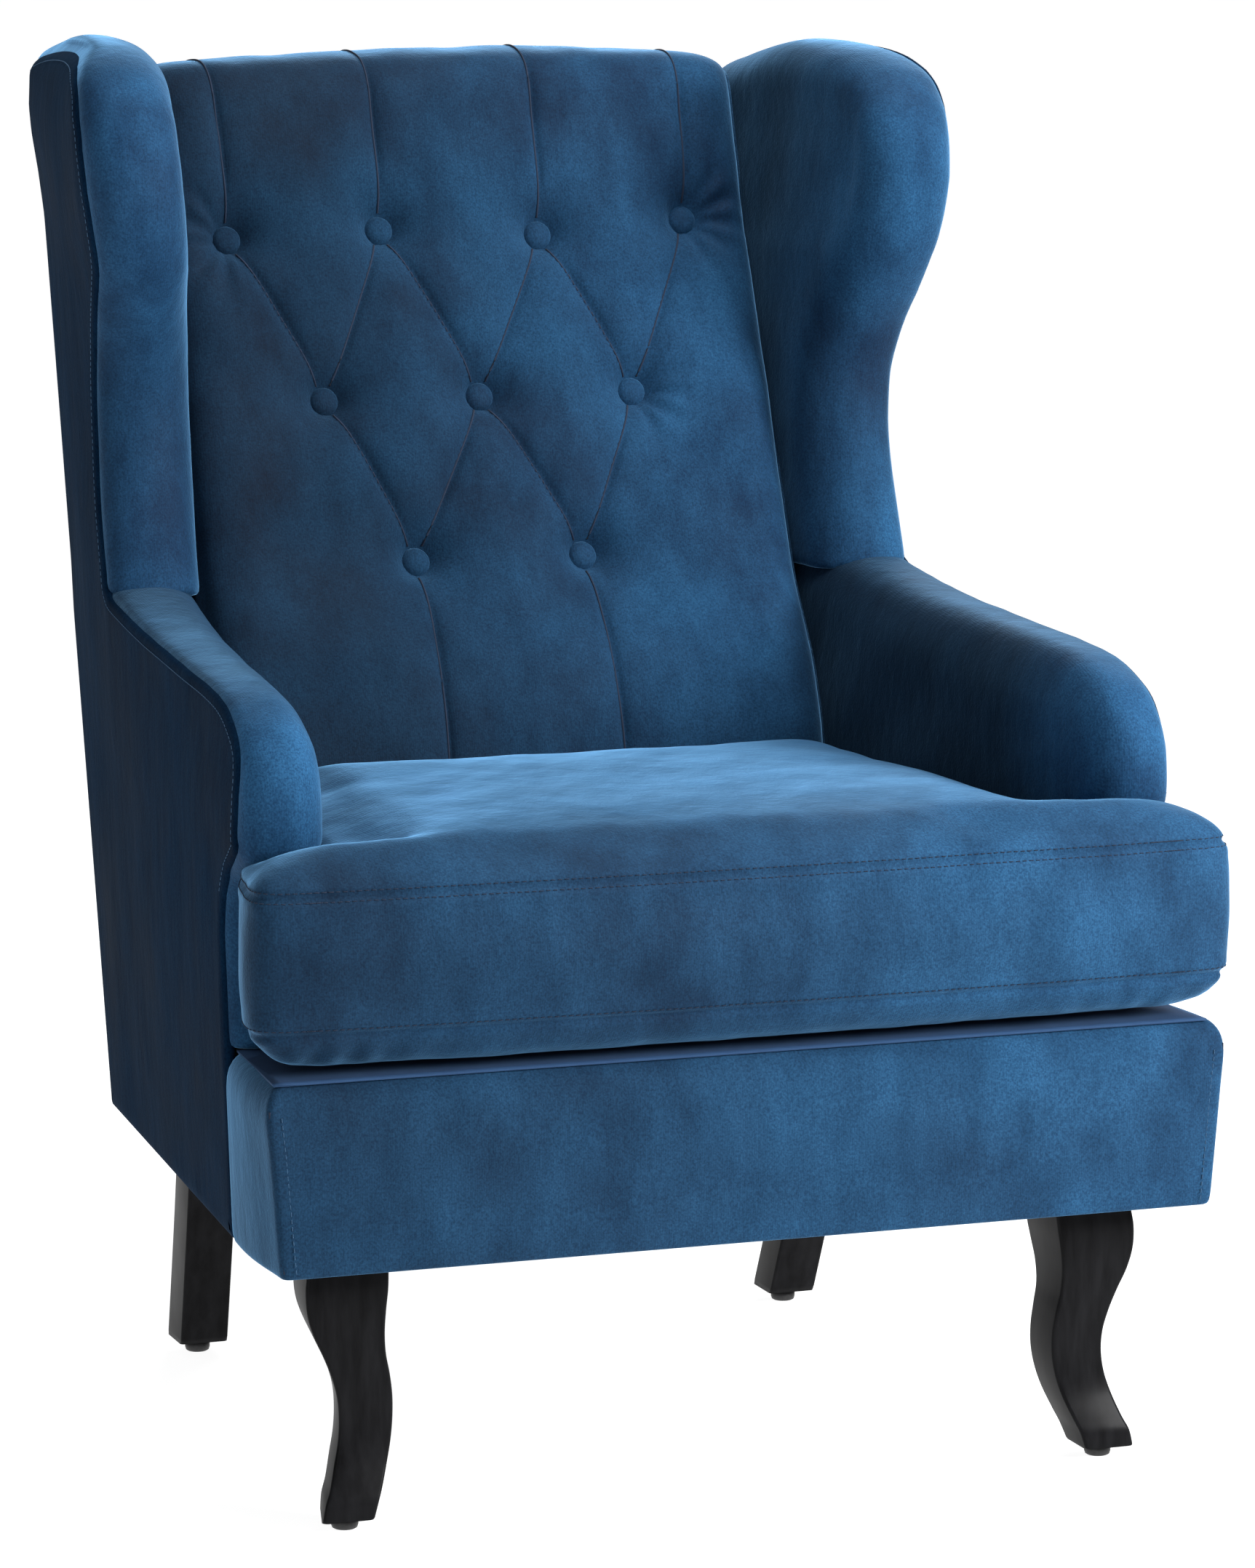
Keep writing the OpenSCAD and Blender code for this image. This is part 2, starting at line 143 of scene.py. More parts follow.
def outer_plane():
    """Half width at the origin of the CAD's outer side plane, and its slopes with depth and height."""
    mesh = nodes["right_side_panel"].data
    face = max((f for f in mesh.polygons if f.normal.x > 0.9), key=lambda f: f.area)
    n, c = face.normal, face.center
    return n.dot(c) / n.x / MM, -n.y / n.x, -n.z / n.x


SIDE_HALF, SIDE_TOE, SIDE_FLARE = outer_plane()
SIDE_HALF += 2.0        # the covers stand a little outside the plywood's plane
RIGHT_LEAN = 1.5        # the right side stands this much further out than the left

# How far the padded side stands outside the plane at three depths: [heights], [amounts]
ARM_SWELL = [190, 400, 480, 505, 530, 555, 600], [0, 0, -3.5, -5.5, -9, -11, -11]
WING_SWELL = ([190, 450, 600, 650, 700, 740, 770, 800, 830, 860, 890, 920, 950, 1000],
              [0, 0, 4, 3, 1, 1, 2, 4, 5.5, 10, 13.5, 14.5, 14, 12])
REAR_SWELL = [190, 560, 600, 860, 894, 924, 943, 1000], [0, 0, -1, -1, 1, 4, 4.5, 4.5]
ARM_DEPTH = -290.0
WING_DEPTH = 130.0


def swell(y, z):
    arm = np.interp(z, *ARM_SWELL)
    wing = np.interp(z, *WING_SWELL)
    rear = np.interp(z, *REAR_SWELL)
    ahead = np.clip((y - ARM_DEPTH) / (WING_DEPTH - ARM_DEPTH), 0, 1)
    behind = np.clip((y - WING_DEPTH) / (rear_y(z) - WING_DEPTH), 0, 1)
    return np.where(y < WING_DEPTH, arm + (wing - arm) * ahead, wing + (rear - wing) * behind)


def side_x(y, z):
    """Half width of the padded side's outer surface."""
    return SIDE_HALF + SIDE_TOE * y + SIDE_FLARE * z + swell(y, z)


# How far the outer corner of a wing's top is rolled inward: [heights], [amounts]
TOP_ROLL = [943, 970, 980, 986, 992], [0, 2.8, 7, 13, 20]


def side_world(side, p):
    """Points (inward distance, depth, height) of a side, in the chair's frame."""
    t, y, z = p[:, 0], p[:, 1], p[:, 2]
    t = t + np.interp(z, *TOP_ROLL) * np.clip(1 - t / 34, 0, 1)
    lean = RIGHT_LEAN if side > 0 else 0.0
    return np.stack([side * (side_x(y, z) - 0.996 * t) + lean, y - 0.085 * t, z + 0.03 * t], 1)


# ---- mesh making

def placed(name, data):
    """A new object in the scene for a mesh, lamp or camera."""
    obj = bpy.data.objects.new(name, data)
    bpy.context.scene.collection.objects.link(obj)
    return obj


def mesh_object(name, verts, faces):
    """A new object from points in millimetres."""
    mesh = bpy.data.meshes.new(name)
    mesh.from_pydata((np.asarray(verts, float) * MM).tolist(), [], [list(f) for f in faces])
    mesh.validate()
    work = bmesh.new()
    work.from_mesh(mesh)
    bmesh.ops.recalc_face_normals(work, faces=work.faces)
    work.to_mesh(mesh)
    work.free()
    mesh.polygons.foreach_set("use_smooth", [True] * len(mesh.polygons))
    return placed(name, mesh)


def vertex_values(mesh, key):
    values = np.zeros(len(mesh.vertices) * 3)
    mesh.vertices.foreach_get(key, values)
    return values.reshape(-1, 3)


def points_of(obj):
    return vertex_values(obj.data, "co") / MM


def set_points(obj, p):
    obj.data.vertices.foreach_set("co", (p * MM).astype(np.float32).ravel())
    obj.data.update()


def evaluated_mesh(obj):
    """A copy of the object's mesh with its modifiers applied."""
    graph = bpy.context.evaluated_depsgraph_get()
    return bpy.data.meshes.new_from_object(obj.evaluated_get(graph))


def applied(obj, kind, **settings):
    """Adds a modifier to obj and applies it."""
    modifier = obj.modifiers.new(kind.lower(), kind)
    for key, value in settings.items():
        setattr(modifier, key, value)
    mesh = evaluated_mesh(obj)
    obj.modifiers.clear()
    old = obj.data
    obj.data = mesh
    bpy.data.meshes.remove(old)
    mesh.polygons.foreach_set("use_smooth", [True] * len(mesh.polygons))
    return obj


def strip_faces(rings, closed=True):
    """Faces between rings of equal length, whose vertices follow each other."""
    n = len(rings[0])
    last = n if closed else n - 1
    faces = []
    for k in range(len(rings) - 1):
        for i in range(last):
            j = (i + 1) % n
            faces.append((k * n + i, k * n + j, (k + 1) * n + j, (k + 1) * n + i))
    return faces


def capped(name, rings, step=0.0, plane=(1, 2)):
    """Closed solid from rings; its two caps are cut into a grid of the given step along two axes."""
    n = len(rings[0])
    verts = np.concatenate(rings)
    obj = mesh_object(name, verts, strip_faces(rings)
                      + [tuple(range(n))[::-1], tuple(range(len(verts) - n, len(verts)))])
    if step:
        work = bmesh.new()
        work.from_mesh(obj.data)
        work.faces.ensure_lookup_table()
        caps = sorted(work.faces, key=lambda f: -len(f.verts))[:2]
        low, high = verts.min(0), verts.max(0)
        for axis in plane:
            normal = Vector([float(axis == k) for k in range(3)])
            for at in np.arange(low[axis] + step / 2, high[axis], step):
                geom = caps + list({e for f in caps for e in f.edges} | {v for f in caps for v in f.verts})
                cut = bmesh.ops.bisect_plane(work, geom=geom, dist=1e-6, plane_no=normal,
                                             plane_co=normal * float(at) * MM)
                caps = [g for g in cut["geom"] if isinstance(g, bmesh.types.BMFace)]
        work.to_mesh(obj.data)
        work.free()
    obj.data.polygons.foreach_set("use_smooth", [True] * len(obj.data.polygons))
    return obj


def finished(obj, material, replaces=(), body=FRAME_BODY):
    """Gives a piece its material and its body, and hides the CAD parts it replaces."""
    obj.data.materials.clear()
    obj.data.materials.append(material)
    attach(obj, body)
    if replaces:
        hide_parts(*replaces)
    return obj


# ---- materials

class Shader:
    """A Principled material that is built node by node."""

    def __init__(self, name):
        self.material = bpy.data.materials.new(name)
        self.material.use_nodes = True
        self.tree = self.material.node_tree
        self.bsdf = self.tree.nodes["Principled BSDF"]
        self.place = self.node("ShaderNodeTexCoord").outputs["Object"]

    def node(self, kind, **inputs):
        made = self.tree.nodes.new(kind)
        for key, value in inputs.items():
            self.join(value, made.inputs[key.replace("_", " ")])
        return made

    def join(self, value, socket):
        if isinstance(value, bpy.types.NodeSocket):
            self.tree.links.new(value, socket)
        else:
            socket.default_value = value

    def stretched(self, scale):
        mapping = self.node("ShaderNodeMapping", Vector=self.place)
        mapping.inputs["Scale"].default_value = scale
        return mapping.outputs[0]

    def noise(self, scale, detail=2.0, roughness=0.5, place=None):
        made = self.node("ShaderNodeTexNoise", Scale=scale, Detail=detail, Roughness=roughness,
                         Vector=place or self.place)
        return made.outputs["Fac"]

    def ramp(self, value, stops):
        made = self.node("ShaderNodeValToRGB", Fac=value)
        elements = made.color_ramp.elements
        while len(elements) < len(stops):
            elements.new(0.5)
        for element, (at, colour) in zip(elements, stops):
            element.position = at
            element.color = (*colour, 1)
        return made.outputs[0]

    def tones(self, value, dark, light):
        """Ramp between two colours, or between two greys given as numbers."""
        pair = [(c,) * 3 if isinstance(c, float) else c for c in (dark, light)]
        return self.ramp(value, list(zip((0.3, 0.7), pair)))

    def mix(self, fac, a, b, kind="MIX"):
        made = self.node("ShaderNodeMix")
        made.data_type = "RGBA"
        made.blend_type = kind
        for name, value in (("Factor_Float", fac), ("A_Color", a), ("B_Color", b)):
            socket = next(s for s in made.inputs if s.identifier == name)
            self.join((*value, 1) if isinstance(value, tuple) and len(value) == 3 else value, socket)
        return next(s for s in made.outputs if s.identifier == "Result_Color")

    def maths(self, kind, a, b):
        made = self.node("ShaderNodeMath")
        made.operation = kind
        self.join(a, made.inputs[0])
        self.join(b, made.inputs[1])
        return made.outputs[0]

    def bump(self, *layers):
        """Layers are (height, strength, distance)."""
        normal = None
        for height, strength, distance in layers:
            made = self.node("ShaderNodeBump", Height=height, Strength=strength, Distance=distance)
            if normal:
                self.join(normal, made.inputs["Normal"])
            normal = made.outputs[0]
        self.join(normal, self.bsdf.inputs["Normal"])

    def set(self, **inputs):
        for key, value in inputs.items():
            self.join(value, self.bsdf.inputs[key.replace("_", " ")])


def velvet(name, deep, bright, streaks=0.0, sheen=1.0, gloss=0.12, painted_light_ramp=None):
    """Short pile: a deep blue that the sheen lifts where the surface turns away.

    The last argument is (axis, start, end, first, last): painted light and shade, a gain on the colour
    that runs from first to last along the axis.
    """
    s = Shader(name)
    cloud = s.noise(6.0, 3.0, 0.55)
    brushed = s.noise(24.0, 5.0, 0.62, s.stretched((1.0, 1.0, 0.5)))
    pile = s.noise(620.0, 2.0, 0.6)
    blend = s.maths("ADD", s.maths("MULTIPLY", cloud, 0.5), s.maths("MULTIPLY", brushed, 0.5))
    colour = s.ramp(blend, [(0.36, deep), (0.64, bright)])
    grain = s.tones(pile, (0.5, 0.54, 0.6), (1.5, 1.44, 1.36))
    colour = s.mix(0.8, colour, grain, "MULTIPLY")
    # Painted light and shade: the colour is scaled along one axis to brighten where the light falls.
    if painted_light_ramp:
        axis, start, end, first, last = painted_light_ramp
        along = s.node("ShaderNodeSeparateXYZ", Vector=s.place).outputs[axis]
        tone = s.node("ShaderNodeMapRange", Value=along, From_Min=start, From_Max=end,
                      To_Min=first, To_Max=last)
        colour = s.mix(1.0, colour, tone.outputs["Result"], "MULTIPLY")
    if streaks:
        lines = s.noise(210.0, 2.0, 0.6, s.stretched((1.0, 1.0, 0.06)))
        tone = s.ramp(lines, [(0.35, (0.8, 0.82, 0.86)), (0.7, (1.25, 1.2, 1.16))])
        colour = s.mix(streaks, colour, tone, "MULTIPLY")
    s.set(Base_Color=colour, Sheen_Weight=sheen, Sheen_Roughness=0.32, Sheen_Tint=(0.24, 0.58, 1.0, 1),
          Specular_IOR_Level=gloss)
    s.set(Roughness=s.tones(cloud, 0.72, 0.9))
    twill = s.node("ShaderNodeTexWave", Scale=190.0, Distortion=1.2, Detail=2.0, Vector=s.place)
    s.bump((pile, 0.3, 0.0007), (twill.outputs["Fac"], 0.08, 0.0004), (brushed, 0.25, 0.006))
    return s.material


def cloth(name, dark, light, size, rough=0.9):
    """Plain weave of two crossing threads."""
    s = Shader(name)
    warp = s.node("ShaderNodeTexWave", Scale=size, Distortion=1.5, Vector=s.place)
    weft = s.node("ShaderNodeTexWave", Scale=size, Distortion=1.5, Vector=s.place)
    weft.bands_direction = "Z"
    weave = s.maths("MULTIPLY", warp.outputs["Fac"], weft.outputs["Fac"])
    s.set(Base_Color=s.mix(s.noise(34.0, 3.0), s.ramp(weave, [(0.0, dark), (0.8, light)]), light),
          Roughness=rough)
    s.bump((weave, 0.3, 0.0008))
    return s.material


def metal(name, colour, rough):
    s = Shader(name)
    wear = s.noise(60.0, 4.0)
    s.set(Base_Color=s.tones(wear, tuple(c * 0.75 for c in colour), colour), Metallic=1.0)
    s.set(Roughness=s.tones(wear, rough, rough + 0.15))
    return s.material


def grained(name, dark, light, size, rough, relief, stretch=(1.0, 1.0, 1.0), detail=4.0, fine=0.7):
    """Timber, foam, felt or plastic: two tones of one noise, which also gives the relief."""
    s = Shader(name)
    grain = s.noise(size, detail, fine, s.stretched(stretch))
    s.set(Base_Color=s.tones(grain, dark, light), Roughness=rough)
    s.bump((grain, *relief))
    return s.material


def lacquer(name):
    """Satin black over a closed grain, a little glossier in places."""
    s = Shader(name)
    grain = s.noise(16.0, 5.0, 0.6, s.stretched((7.0, 7.0, 1.0)))
    haze = s.noise(9.0, 3.0)
    s.set(Base_Color=s.tones(grain, (0.0035, 0.0035, 0.004), (0.010, 0.0102, 0.0115)),
          Specular_IOR_Level=0.05, Coat_Weight=0.02, Coat_Roughness=0.2)
    s.set(Roughness=s.tones(haze, 0.3, 0.42))
    s.bump((grain, 0.06, 0.0006))
    return s.material


def plastic(name):
    return grained(name, (0.008, 0.008, 0.009), (0.02, 0.02, 0.021), 400.0, 0.5, (0.2, 0.0003),
                   detail=2.0, fine=0.5)


def foamy(name, dark, light, size):
    return grained(name, dark, light, size, 0.95, (0.5, 0.001))


# All one velvet, in three tone sets: the seat and border lighter and the side and rear panels darker than the
# pads. This is painted light on the lit seat and painted shade on the shaded sides.
LIT_SEAT_TONES = (0.0036, 0.0200, 0.0500), (0.0120, 0.0530, 0.1180)
PAD_TONES = (0.0014, 0.0092, 0.0250), (0.0058, 0.0290, 0.0660)
SHADED_PANEL_TONES = (0.0009, 0.0072, 0.0205), (0.0026, 0.0150, 0.0390)
# Each copy's last argument adds painted light and shade along one axis: brighter to the right on the seat and
# back, and towards the front edges on the wings and arms.
velvet_seat = velvet("velvet_seat", *LIT_SEAT_TONES, sheen=0.8, painted_light_ramp=("X", -0.3, 0.3, 0.75, 1.4))
velvet_pads = velvet("velvet_pads", *PAD_TONES, sheen=0.8)
velvet_back = velvet("velvet_back", *PAD_TONES, sheen=0.8, painted_light_ramp=("X", -0.12, 0.2, 0.75, 2.0))
velvet_wings = velvet("velvet_wings", *PAD_TONES, sheen=0.9, painted_light_ramp=("Y", 0.11, 0.24, 2.4, 0.7))
velvet_arms = velvet("velvet_arms", *PAD_TONES, sheen=0.6, painted_light_ramp=("Y", -0.29, -0.16, 2.9, 0.6))
velvet_panels = velvet("velvet_panels", *SHADED_PANEL_TONES, streaks=0.8, sheen=0.03, gloss=0.02)
thread_light = cloth("thread_light", (0.012, 0.045, 0.10), (0.035, 0.10, 0.19), 900.0)
pleat_dark = cloth("pleat_dark", (0.001, 0.006, 0.02), (0.003, 0.014, 0.04), 900.0)
black_lacquer = lacquer("black_lacquer")

CAD_FINISHES = {
    "timber": grained("raw_timber", (0.42, 0.27, 0.14), (0.62, 0.44, 0.26), 9.0, 0.7, (0.2, 0.001),
                      (12.0, 1.5, 12.0), 5.0, 0.6),
    "screw_steel": metal("screw_steel", (0.62, 0.62, 0.64), 0.3),
    "spring_steel": metal("spring_steel", (0.32, 0.31, 0.3), 0.4),
    "clip_steel": metal("clip_steel", (0.55, 0.55, 0.57), 0.35),
    "felt": foamy("grey_felt", (0.3, 0.3, 0.29), (0.55, 0.54, 0.52), 300.0),
    "velvet": velvet_pads,
    "deck_fabric": cloth("deck_fabric", (0.006, 0.03, 0.09), (0.015, 0.06, 0.15), 420.0),
    "webbing": cloth("webbing", (0.3, 0.22, 0.12), (0.6, 0.5, 0.33), 260.0),
    "hessian": cloth("hessian", (0.25, 0.17, 0.08), (0.55, 0.42, 0.25), 160.0),
    "foam": foamy("pale_foam", (0.62, 0.56, 0.38), (0.8, 0.76, 0.58), 500.0),
    "twine": cloth("twine", (0.5, 0.47, 0.4), (0.8, 0.77, 0.7), 600.0),
    "lining": cloth("lining", (0.006, 0.006, 0.007), (0.022, 0.022, 0.024), 500.0),
    "zip": plastic("zip_plastic"),
    "black_lacquer": black_lacquer,
    "black_plastic": plastic("glide_plastic"),
}


# ---- arms, wings and side panels

# Crown of an arm and of a wing: depth, height, way back to the outer seam, rounding to the inner face
ARM_CROWN = [(-251, 321, 12, 28), (-252, 400, 12, 28), (-258, 432, 12, 28), (-278, 446, 13, 28),
             (-299, 457, 17, 28), (-306, 474, 22, 34), (-307, 500, 22, 42), (-303, 521, 20, 50),
             (-292, 538, 16, 56), (-278, 549, 12, 58), (-259, 557, 9, 60), (-228, 565, 6, 60),
             (-181, 570, 5, 58), (-110, 574, 5, 54), (-50, 578, 5, 50), (5, 581.5, 5, 46),
             (60, 587.5, 6, 42), (112, 595.5, 8, 38), (150, 602, 10, 36), (230, 606, 10, 34),
             (300, 606, 10, 34)]
WING_CROWN = [(121, 590, 16, 40), (127, 612, 18, 40), (134, 635, 20, 42), (142, 662, 22, 42),
              (148, 688, 22, 42), (151, 716, 20, 42), (149, 742, 18, 42), (135, 774, 16, 42),
              (115, 803, 15, 42), (95, 832, 17, 42), (85, 860, 22, 40), (81, 887, 26, 38),
              (83, 909, 27, 36), (90, 930, 25, 33), (102, 950, 20, 30), (129, 972, 10, 28),
              (168, 986, 5, 28), (213, 992, 5, 30), (280, 993, 6, 34), (340, 989, 6, 38),
              (384, 983, 6, 40)]
SEAM_HALF = 32.0        # from the outer face to the crown
ROUNDNESS = 2.1         # power of the rolled edge's curve; 2 is an ellipse
TUCK = 2.5              # the pads start this far inside the outer face, behind the panel's edge
ARM_SLIM = 0.27         # share of an arm's inner half that is missing at its nose
PANEL_FRONT = -240.0    # front edge of the side panels
STITCH_INSET = 6.5      # from a panel's edge to its stitching
TOP_LIFT = {-1: 6.0, 1: -2.5}       # the left wing's top stands higher than the right one's
REAR_DROP = {-1: 0.4, 1: 0.8}       # share of the fall of the wing's top towards its inner rear corner


def crown_rings(crown, closing):
    """Rings of (inward distance, depth, height) from the outer seam over the crown to the inner face."""
    run = spline(crown, 6)
    line, gap, roll = run[:, :2], run[:, 2], run[:, 3]
    inward = line_normals(line)
    for _ in range(10):
        inward[1:-1] = (inward[:-2] + inward[1:-1] * 2 + inward[2:]) / 4
    inward /= np.linalg.norm(inward, axis=1)[:, None]
    closing = np.array(closing, float)

    def ring(distance, t):
        flat = np.concatenate([line + inward * distance[:, None], closing])
        return np.c_[np.full(len(flat), t), flat]

    rings = []
    power = 2 / ROUNDNESS
    for angle in np.radians(np.linspace(0, 90, 8)):
        rings.append(ring(gap * (1 - math.sin(angle) ** power),
                          TUCK + (SEAM_HALF - TUCK) * (1 - math.cos(angle) ** power)))
    for angle in np.radians(np.linspace(80, 0, 9)):
        rings.append(ring(roll * (1 - math.sin(angle) ** power),
                          THICK - (THICK - SEAM_HALF) * (1 - math.cos(angle) ** power)))
    return rings, line, inward, gap


def slimmed(t, y):
    """Inward distance after the arm's inner face has drawn in towards its nose."""
    share = 0.05 + (ARM_SLIM - 0.05) * smoothstep(-y, -120, 230)
    return t - np.maximum(t - SEAM_HALF, 0) * share


def padded_side(name, side, crown, closing, puff, seed):
    """One arm or wing: a stuffed slab with a rolled edge and a softly rounded inner face."""
    rings, line, _, _ = crown_rings(crown, closing)
    obj = capped(name, rings)
    applied(obj, "REMESH", mode="VOXEL", voxel_size=3.6 * MM)
    applied(obj, "CORRECTIVE_SMOOTH", iterations=8, use_only_smooth=True)
    p = points_of(obj)
    inside = distance_to_line(p[:, 1:], line[::3])
    inner = smoothstep(p[:, 0], SEAM_HALF, THICK - 6)
    p[:, 0] += inner * puff * smoothstep(inside, 20, 120)
    p[:, 0] += (0.25 + 0.75 * inner) * 0.7 * waves(p, 90, seed)
    p[:, 1:] += (0.2 * waves(p, 55, seed + 1))[:, None]
    p[:, 1] = np.minimum(p[:, 1], rear_y(p[:, 2]) - 7)
    if crown is ARM_CROWN:
        p[:, 0] = slimmed(p[:, 0], p[:, 1])
    rear_top = smoothstep(p[:, 2], 890, 980) * smoothstep(p[:, 1], 260, 385)
    p[:, 2] -= rear_top * np.interp(p[:, 0], [0, 12, 40, 75], [0, 2, 11, 15]) * REAR_DROP[side]
    p[:, 2] += smoothstep(p[:, 2], 900, 985) * TOP_LIFT[side]
    set_points(obj, side_world(side, p))
    return obj


def seam_line(crown):
    """Outer seam of an arm or wing, in (depth, height)."""
    _, line, inward, gap = crown_rings(crown, [(0, 0)])
    return line + inward * gap[:, None]


arm_seam = seam_line(ARM_CROWN)
wing_seam = seam_line(WING_CROWN)


def panel_outline():
    """Edge of a side panel in (depth, height), anticlockwise from the foot of its front edge."""
    arm = arm_seam[(arm_seam[:, 1] > 448) & (arm_seam[:, 0] < 118)]
    wing = wing_seam[wing_seam[:, 1] > 606]
    wing = wing[wing[:, 0] < rear_y(975) - 12]
    rear = np.linspace([rear_y(966), 966], [rear_y(SKIRT), SKIRT], 60)
    foot = np.linspace([rear_y(SKIRT), SKIRT], [PANEL_FRONT, SKIRT], 40)[1:]
    front = np.linspace([PANEL_FRONT, SKIRT], [PANEL_FRONT, 405], 16)[1:]
    joining = spline([[PANEL_FRONT, 405], [PANEL_FRONT - 5, 430], arm[0]], 4)[1:-1]
    bridge = np.array([[128, 590], [142, 597]])
    top = wing[-1] + (rear[0] - wing[-1]) * np.array([[0.5, 0.2], [0.85, 0.55]])
    return np.concatenate([front, joining, arm, bridge, wing, top, rear, foot])


def side_cloth(name, side):
    """Outer panel of an arm and wing: cloth over wadding with its edge turned under."""
    line = resample(closed(panel_outline()), 6)[:-1]
    inward = closed_normals(line)
    rings = [np.c_[np.full(len(line), t), line + inward * d]
             for t, d in ((7, 0.3), (4, 0.0), (2.2, 0.4), (0.8, 1.6), (0.0, 4.0), (-0.5, 9.0))]
    obj = capped(name, rings[::-1], step=9)
    p = points_of(obj)
    face = p[:, 0] < -0.3
    flat = distance_to_line(p[:, 1:], closed(line[::2]))
    p[:, 0] -= face * (1.6 * smoothstep(flat, 8, 90) + 0.5 * waves(p, 130, 5 + side))
    set_points(obj, side_world(side, p))
    return obj, line, inward


stitch_paths = []
for word, side in SIDES:
    arm_end = [(340, 600), (rear_y(560) - 10, 560), (rear_y(450) - 12, 450), (rear_y(321) - 10, 321),
               (100, 321), (-100, 321)]
    arm = padded_side(f"{word}_arm_pad", side, ARM_CROWN, arm_end, 4.0, 11 + side)
    finished(arm, velvet_arms, [f"{word}_arm_cover", f"{word}_arm_foam"])
    wing_end = [(rear_y(966) - 4, 966), (rear_y(780) - 5, 780), (rear_y(592) - 5, 590), (240, 590)]
    wing = padded_side(f"{word}_wing_pad", side, WING_CROWN, wing_end, 3.0, 31 + side)
    finished(wing, velvet_wings, [f"{word}_wing_cover", f"{word}_wing_foam"])
    panel, panel_line, panel_inward = side_cloth(f"{word}_side_cloth", side)
    finished(panel, velvet_panels, [f"{word}_side_panel"])
    upper = (panel_line[:, 1] > 425) & (panel_line[:, 0] < rear_y(panel_line[:, 1]) - 20)
    path = (panel_line + panel_inward * STITCH_INSET)[upper]
    stitch_paths.append(side_world(side, np.c_[np.full(len(path), -0.6), path]))


# ---- tufted back

# Middle line of the back padding's front, as (depth, height)
PAD_FRONT = [(92, 323), (82, 400), (80, 462), (104, 530), (150, 603), (198, 723), (248, 846), (276, 925),
             (289, 962), (308, 981), (338, 987), (366, 984), (382, 972)]
PAD_HALF = 240.0
TOP_BUTTONS = [(-186, 851), (-64, 856), (64, 850), (185, 859)]
MIDDLE_BUTTONS = [(x, 731) for x in (-124, 0, 124)]
LOWER_BUTTONS = [(x, 612) for x in (-67, 67)]
BUTTONS = TOP_BUTTONS + MIDDLE_BUTTONS + LOWER_BUTTONS
PIT = 24.0              # how deep the buttons lie
PLEAT_REACH = 70        # buttons of neighbouring rows closer than this sideways share a pleat
PLEAT_FOOT = 440        # height at which the lowest pleats end

pad_line = resample(spline(PAD_FRONT), 2.4)
pad_out = -line_normals(pad_line)
pad_v = np.r_[0, np.cumsum(np.linalg.norm(np.diff(pad_line, axis=0), axis=1))]


def pad_run(z):
    """Distance along the padded front at height z."""
    stop = int(np.argmax(pad_line[:, 1]))
    return float(np.interp(z, pad_line[:stop, 1], pad_v[:stop]))


TOP_V = float(pad_v[int(np.argmax(pad_line[:, 1]))]) + 24
FOOT_V = pad_run(PLEAT_FOOT)
places = [(x, pad_run(z)) for x, z in BUTTONS]
PLEATS = []             # (start, end, depth, width)
for row, end_v, spread, depth in ((TOP_BUTTONS, TOP_V, 1.03, 5.5), (LOWER_BUTTONS, FOOT_V, 1.05, 5.0)):
    for x, z in row:
        PLEATS.append(((x, pad_run(z)), (x * spread, end_v), depth, 9.0))
        for mx, mz in MIDDLE_BUTTONS:
            if abs(mx - x) < PLEAT_REACH:
                PLEATS.append(((x, pad_run(z)), (mx, pad_run(mz)), 8.5, 12.0))


def pleat_depth(x, v):
    """Depth of the nearest pleat's valley at each point."""
    deepest = np.zeros(len(x))
    p = np.stack([x, v], 1)
    for a, b, depth, width in PLEATS:
        a, b = np.array(a), np.array(b)
        run = b - a
        t = np.clip((p - a) @ run / (run @ run), 0, 1)
        away = np.linalg.norm(p - a - t[:, None] * run, axis=1)
        deepest = np.maximum(deepest, depth * np.exp(-away / width) + 1.6 * np.exp(-(away / 2.6) ** 2))
    return deepest


def pit_depth(x, v):
    """Depth of the nearest button's pit at each point."""
    deepest = np.zeros(len(x))
    for bx, bv in places:
        r = np.hypot(x - bx, v - bv)
        deepest = np.maximum(deepest, PIT * np.exp(-(np.maximum(r - 9, 0) / 19) ** 1.05))
    return deepest


def pinches(x, v):
    """Small folds that run out from the buttons next to the wings and the third of the middle row."""
    total = np.zeros(len(x))
    for (bx, bv), share in ((places[0], 1.0), (places[3], 1.15), (places[6], 0.7)):
        r = np.hypot(x - bx, v - bv)
        angle = np.arctan2(v - bv, (x - bx) * np.sign(bx))
        facing = smoothstep(np.cos(angle + 0.35), -0.35, 0.6)
        total += share * facing * 1.7 * np.sin(angle * 11 + 0.6) * np.exp(-((r - 30) / 17) ** 2)
    return total


def recess(x, v):
    """How far the cover lies behind the crest of the padding."""
    half = PAD_HALF - 3
    top = smoothstep(v, pad_run(940), TOP_V - 10)
    edge = np.clip((np.abs(x) - (half - 42)) / 42, 0, 1)
    rounding = (25 - 17 * top) * (1 - np.sqrt(np.maximum(1 - edge ** 2.2, 0)))
    tuft = (pleat_depth(x, v) ** 2.4 + pit_depth(x, v) ** 2.4) ** (1 / 2.4)
    fade = 1 - 0.93 * smoothstep(v, pad_run(930), TOP_V - 26)
    p = np.stack([x, v, np.zeros(len(x))], 1)
    loose = 0.9 * waves(p, 120, 71) + 0.5 * waves(p, 48, 72)
    top_arch = 10 * (np.abs(x) / 236) ** 2.2 * smoothstep(v, pad_run(930), TOP_V)
    return rounding + tuft * fade + loose - pinches(x, v) + top_arch


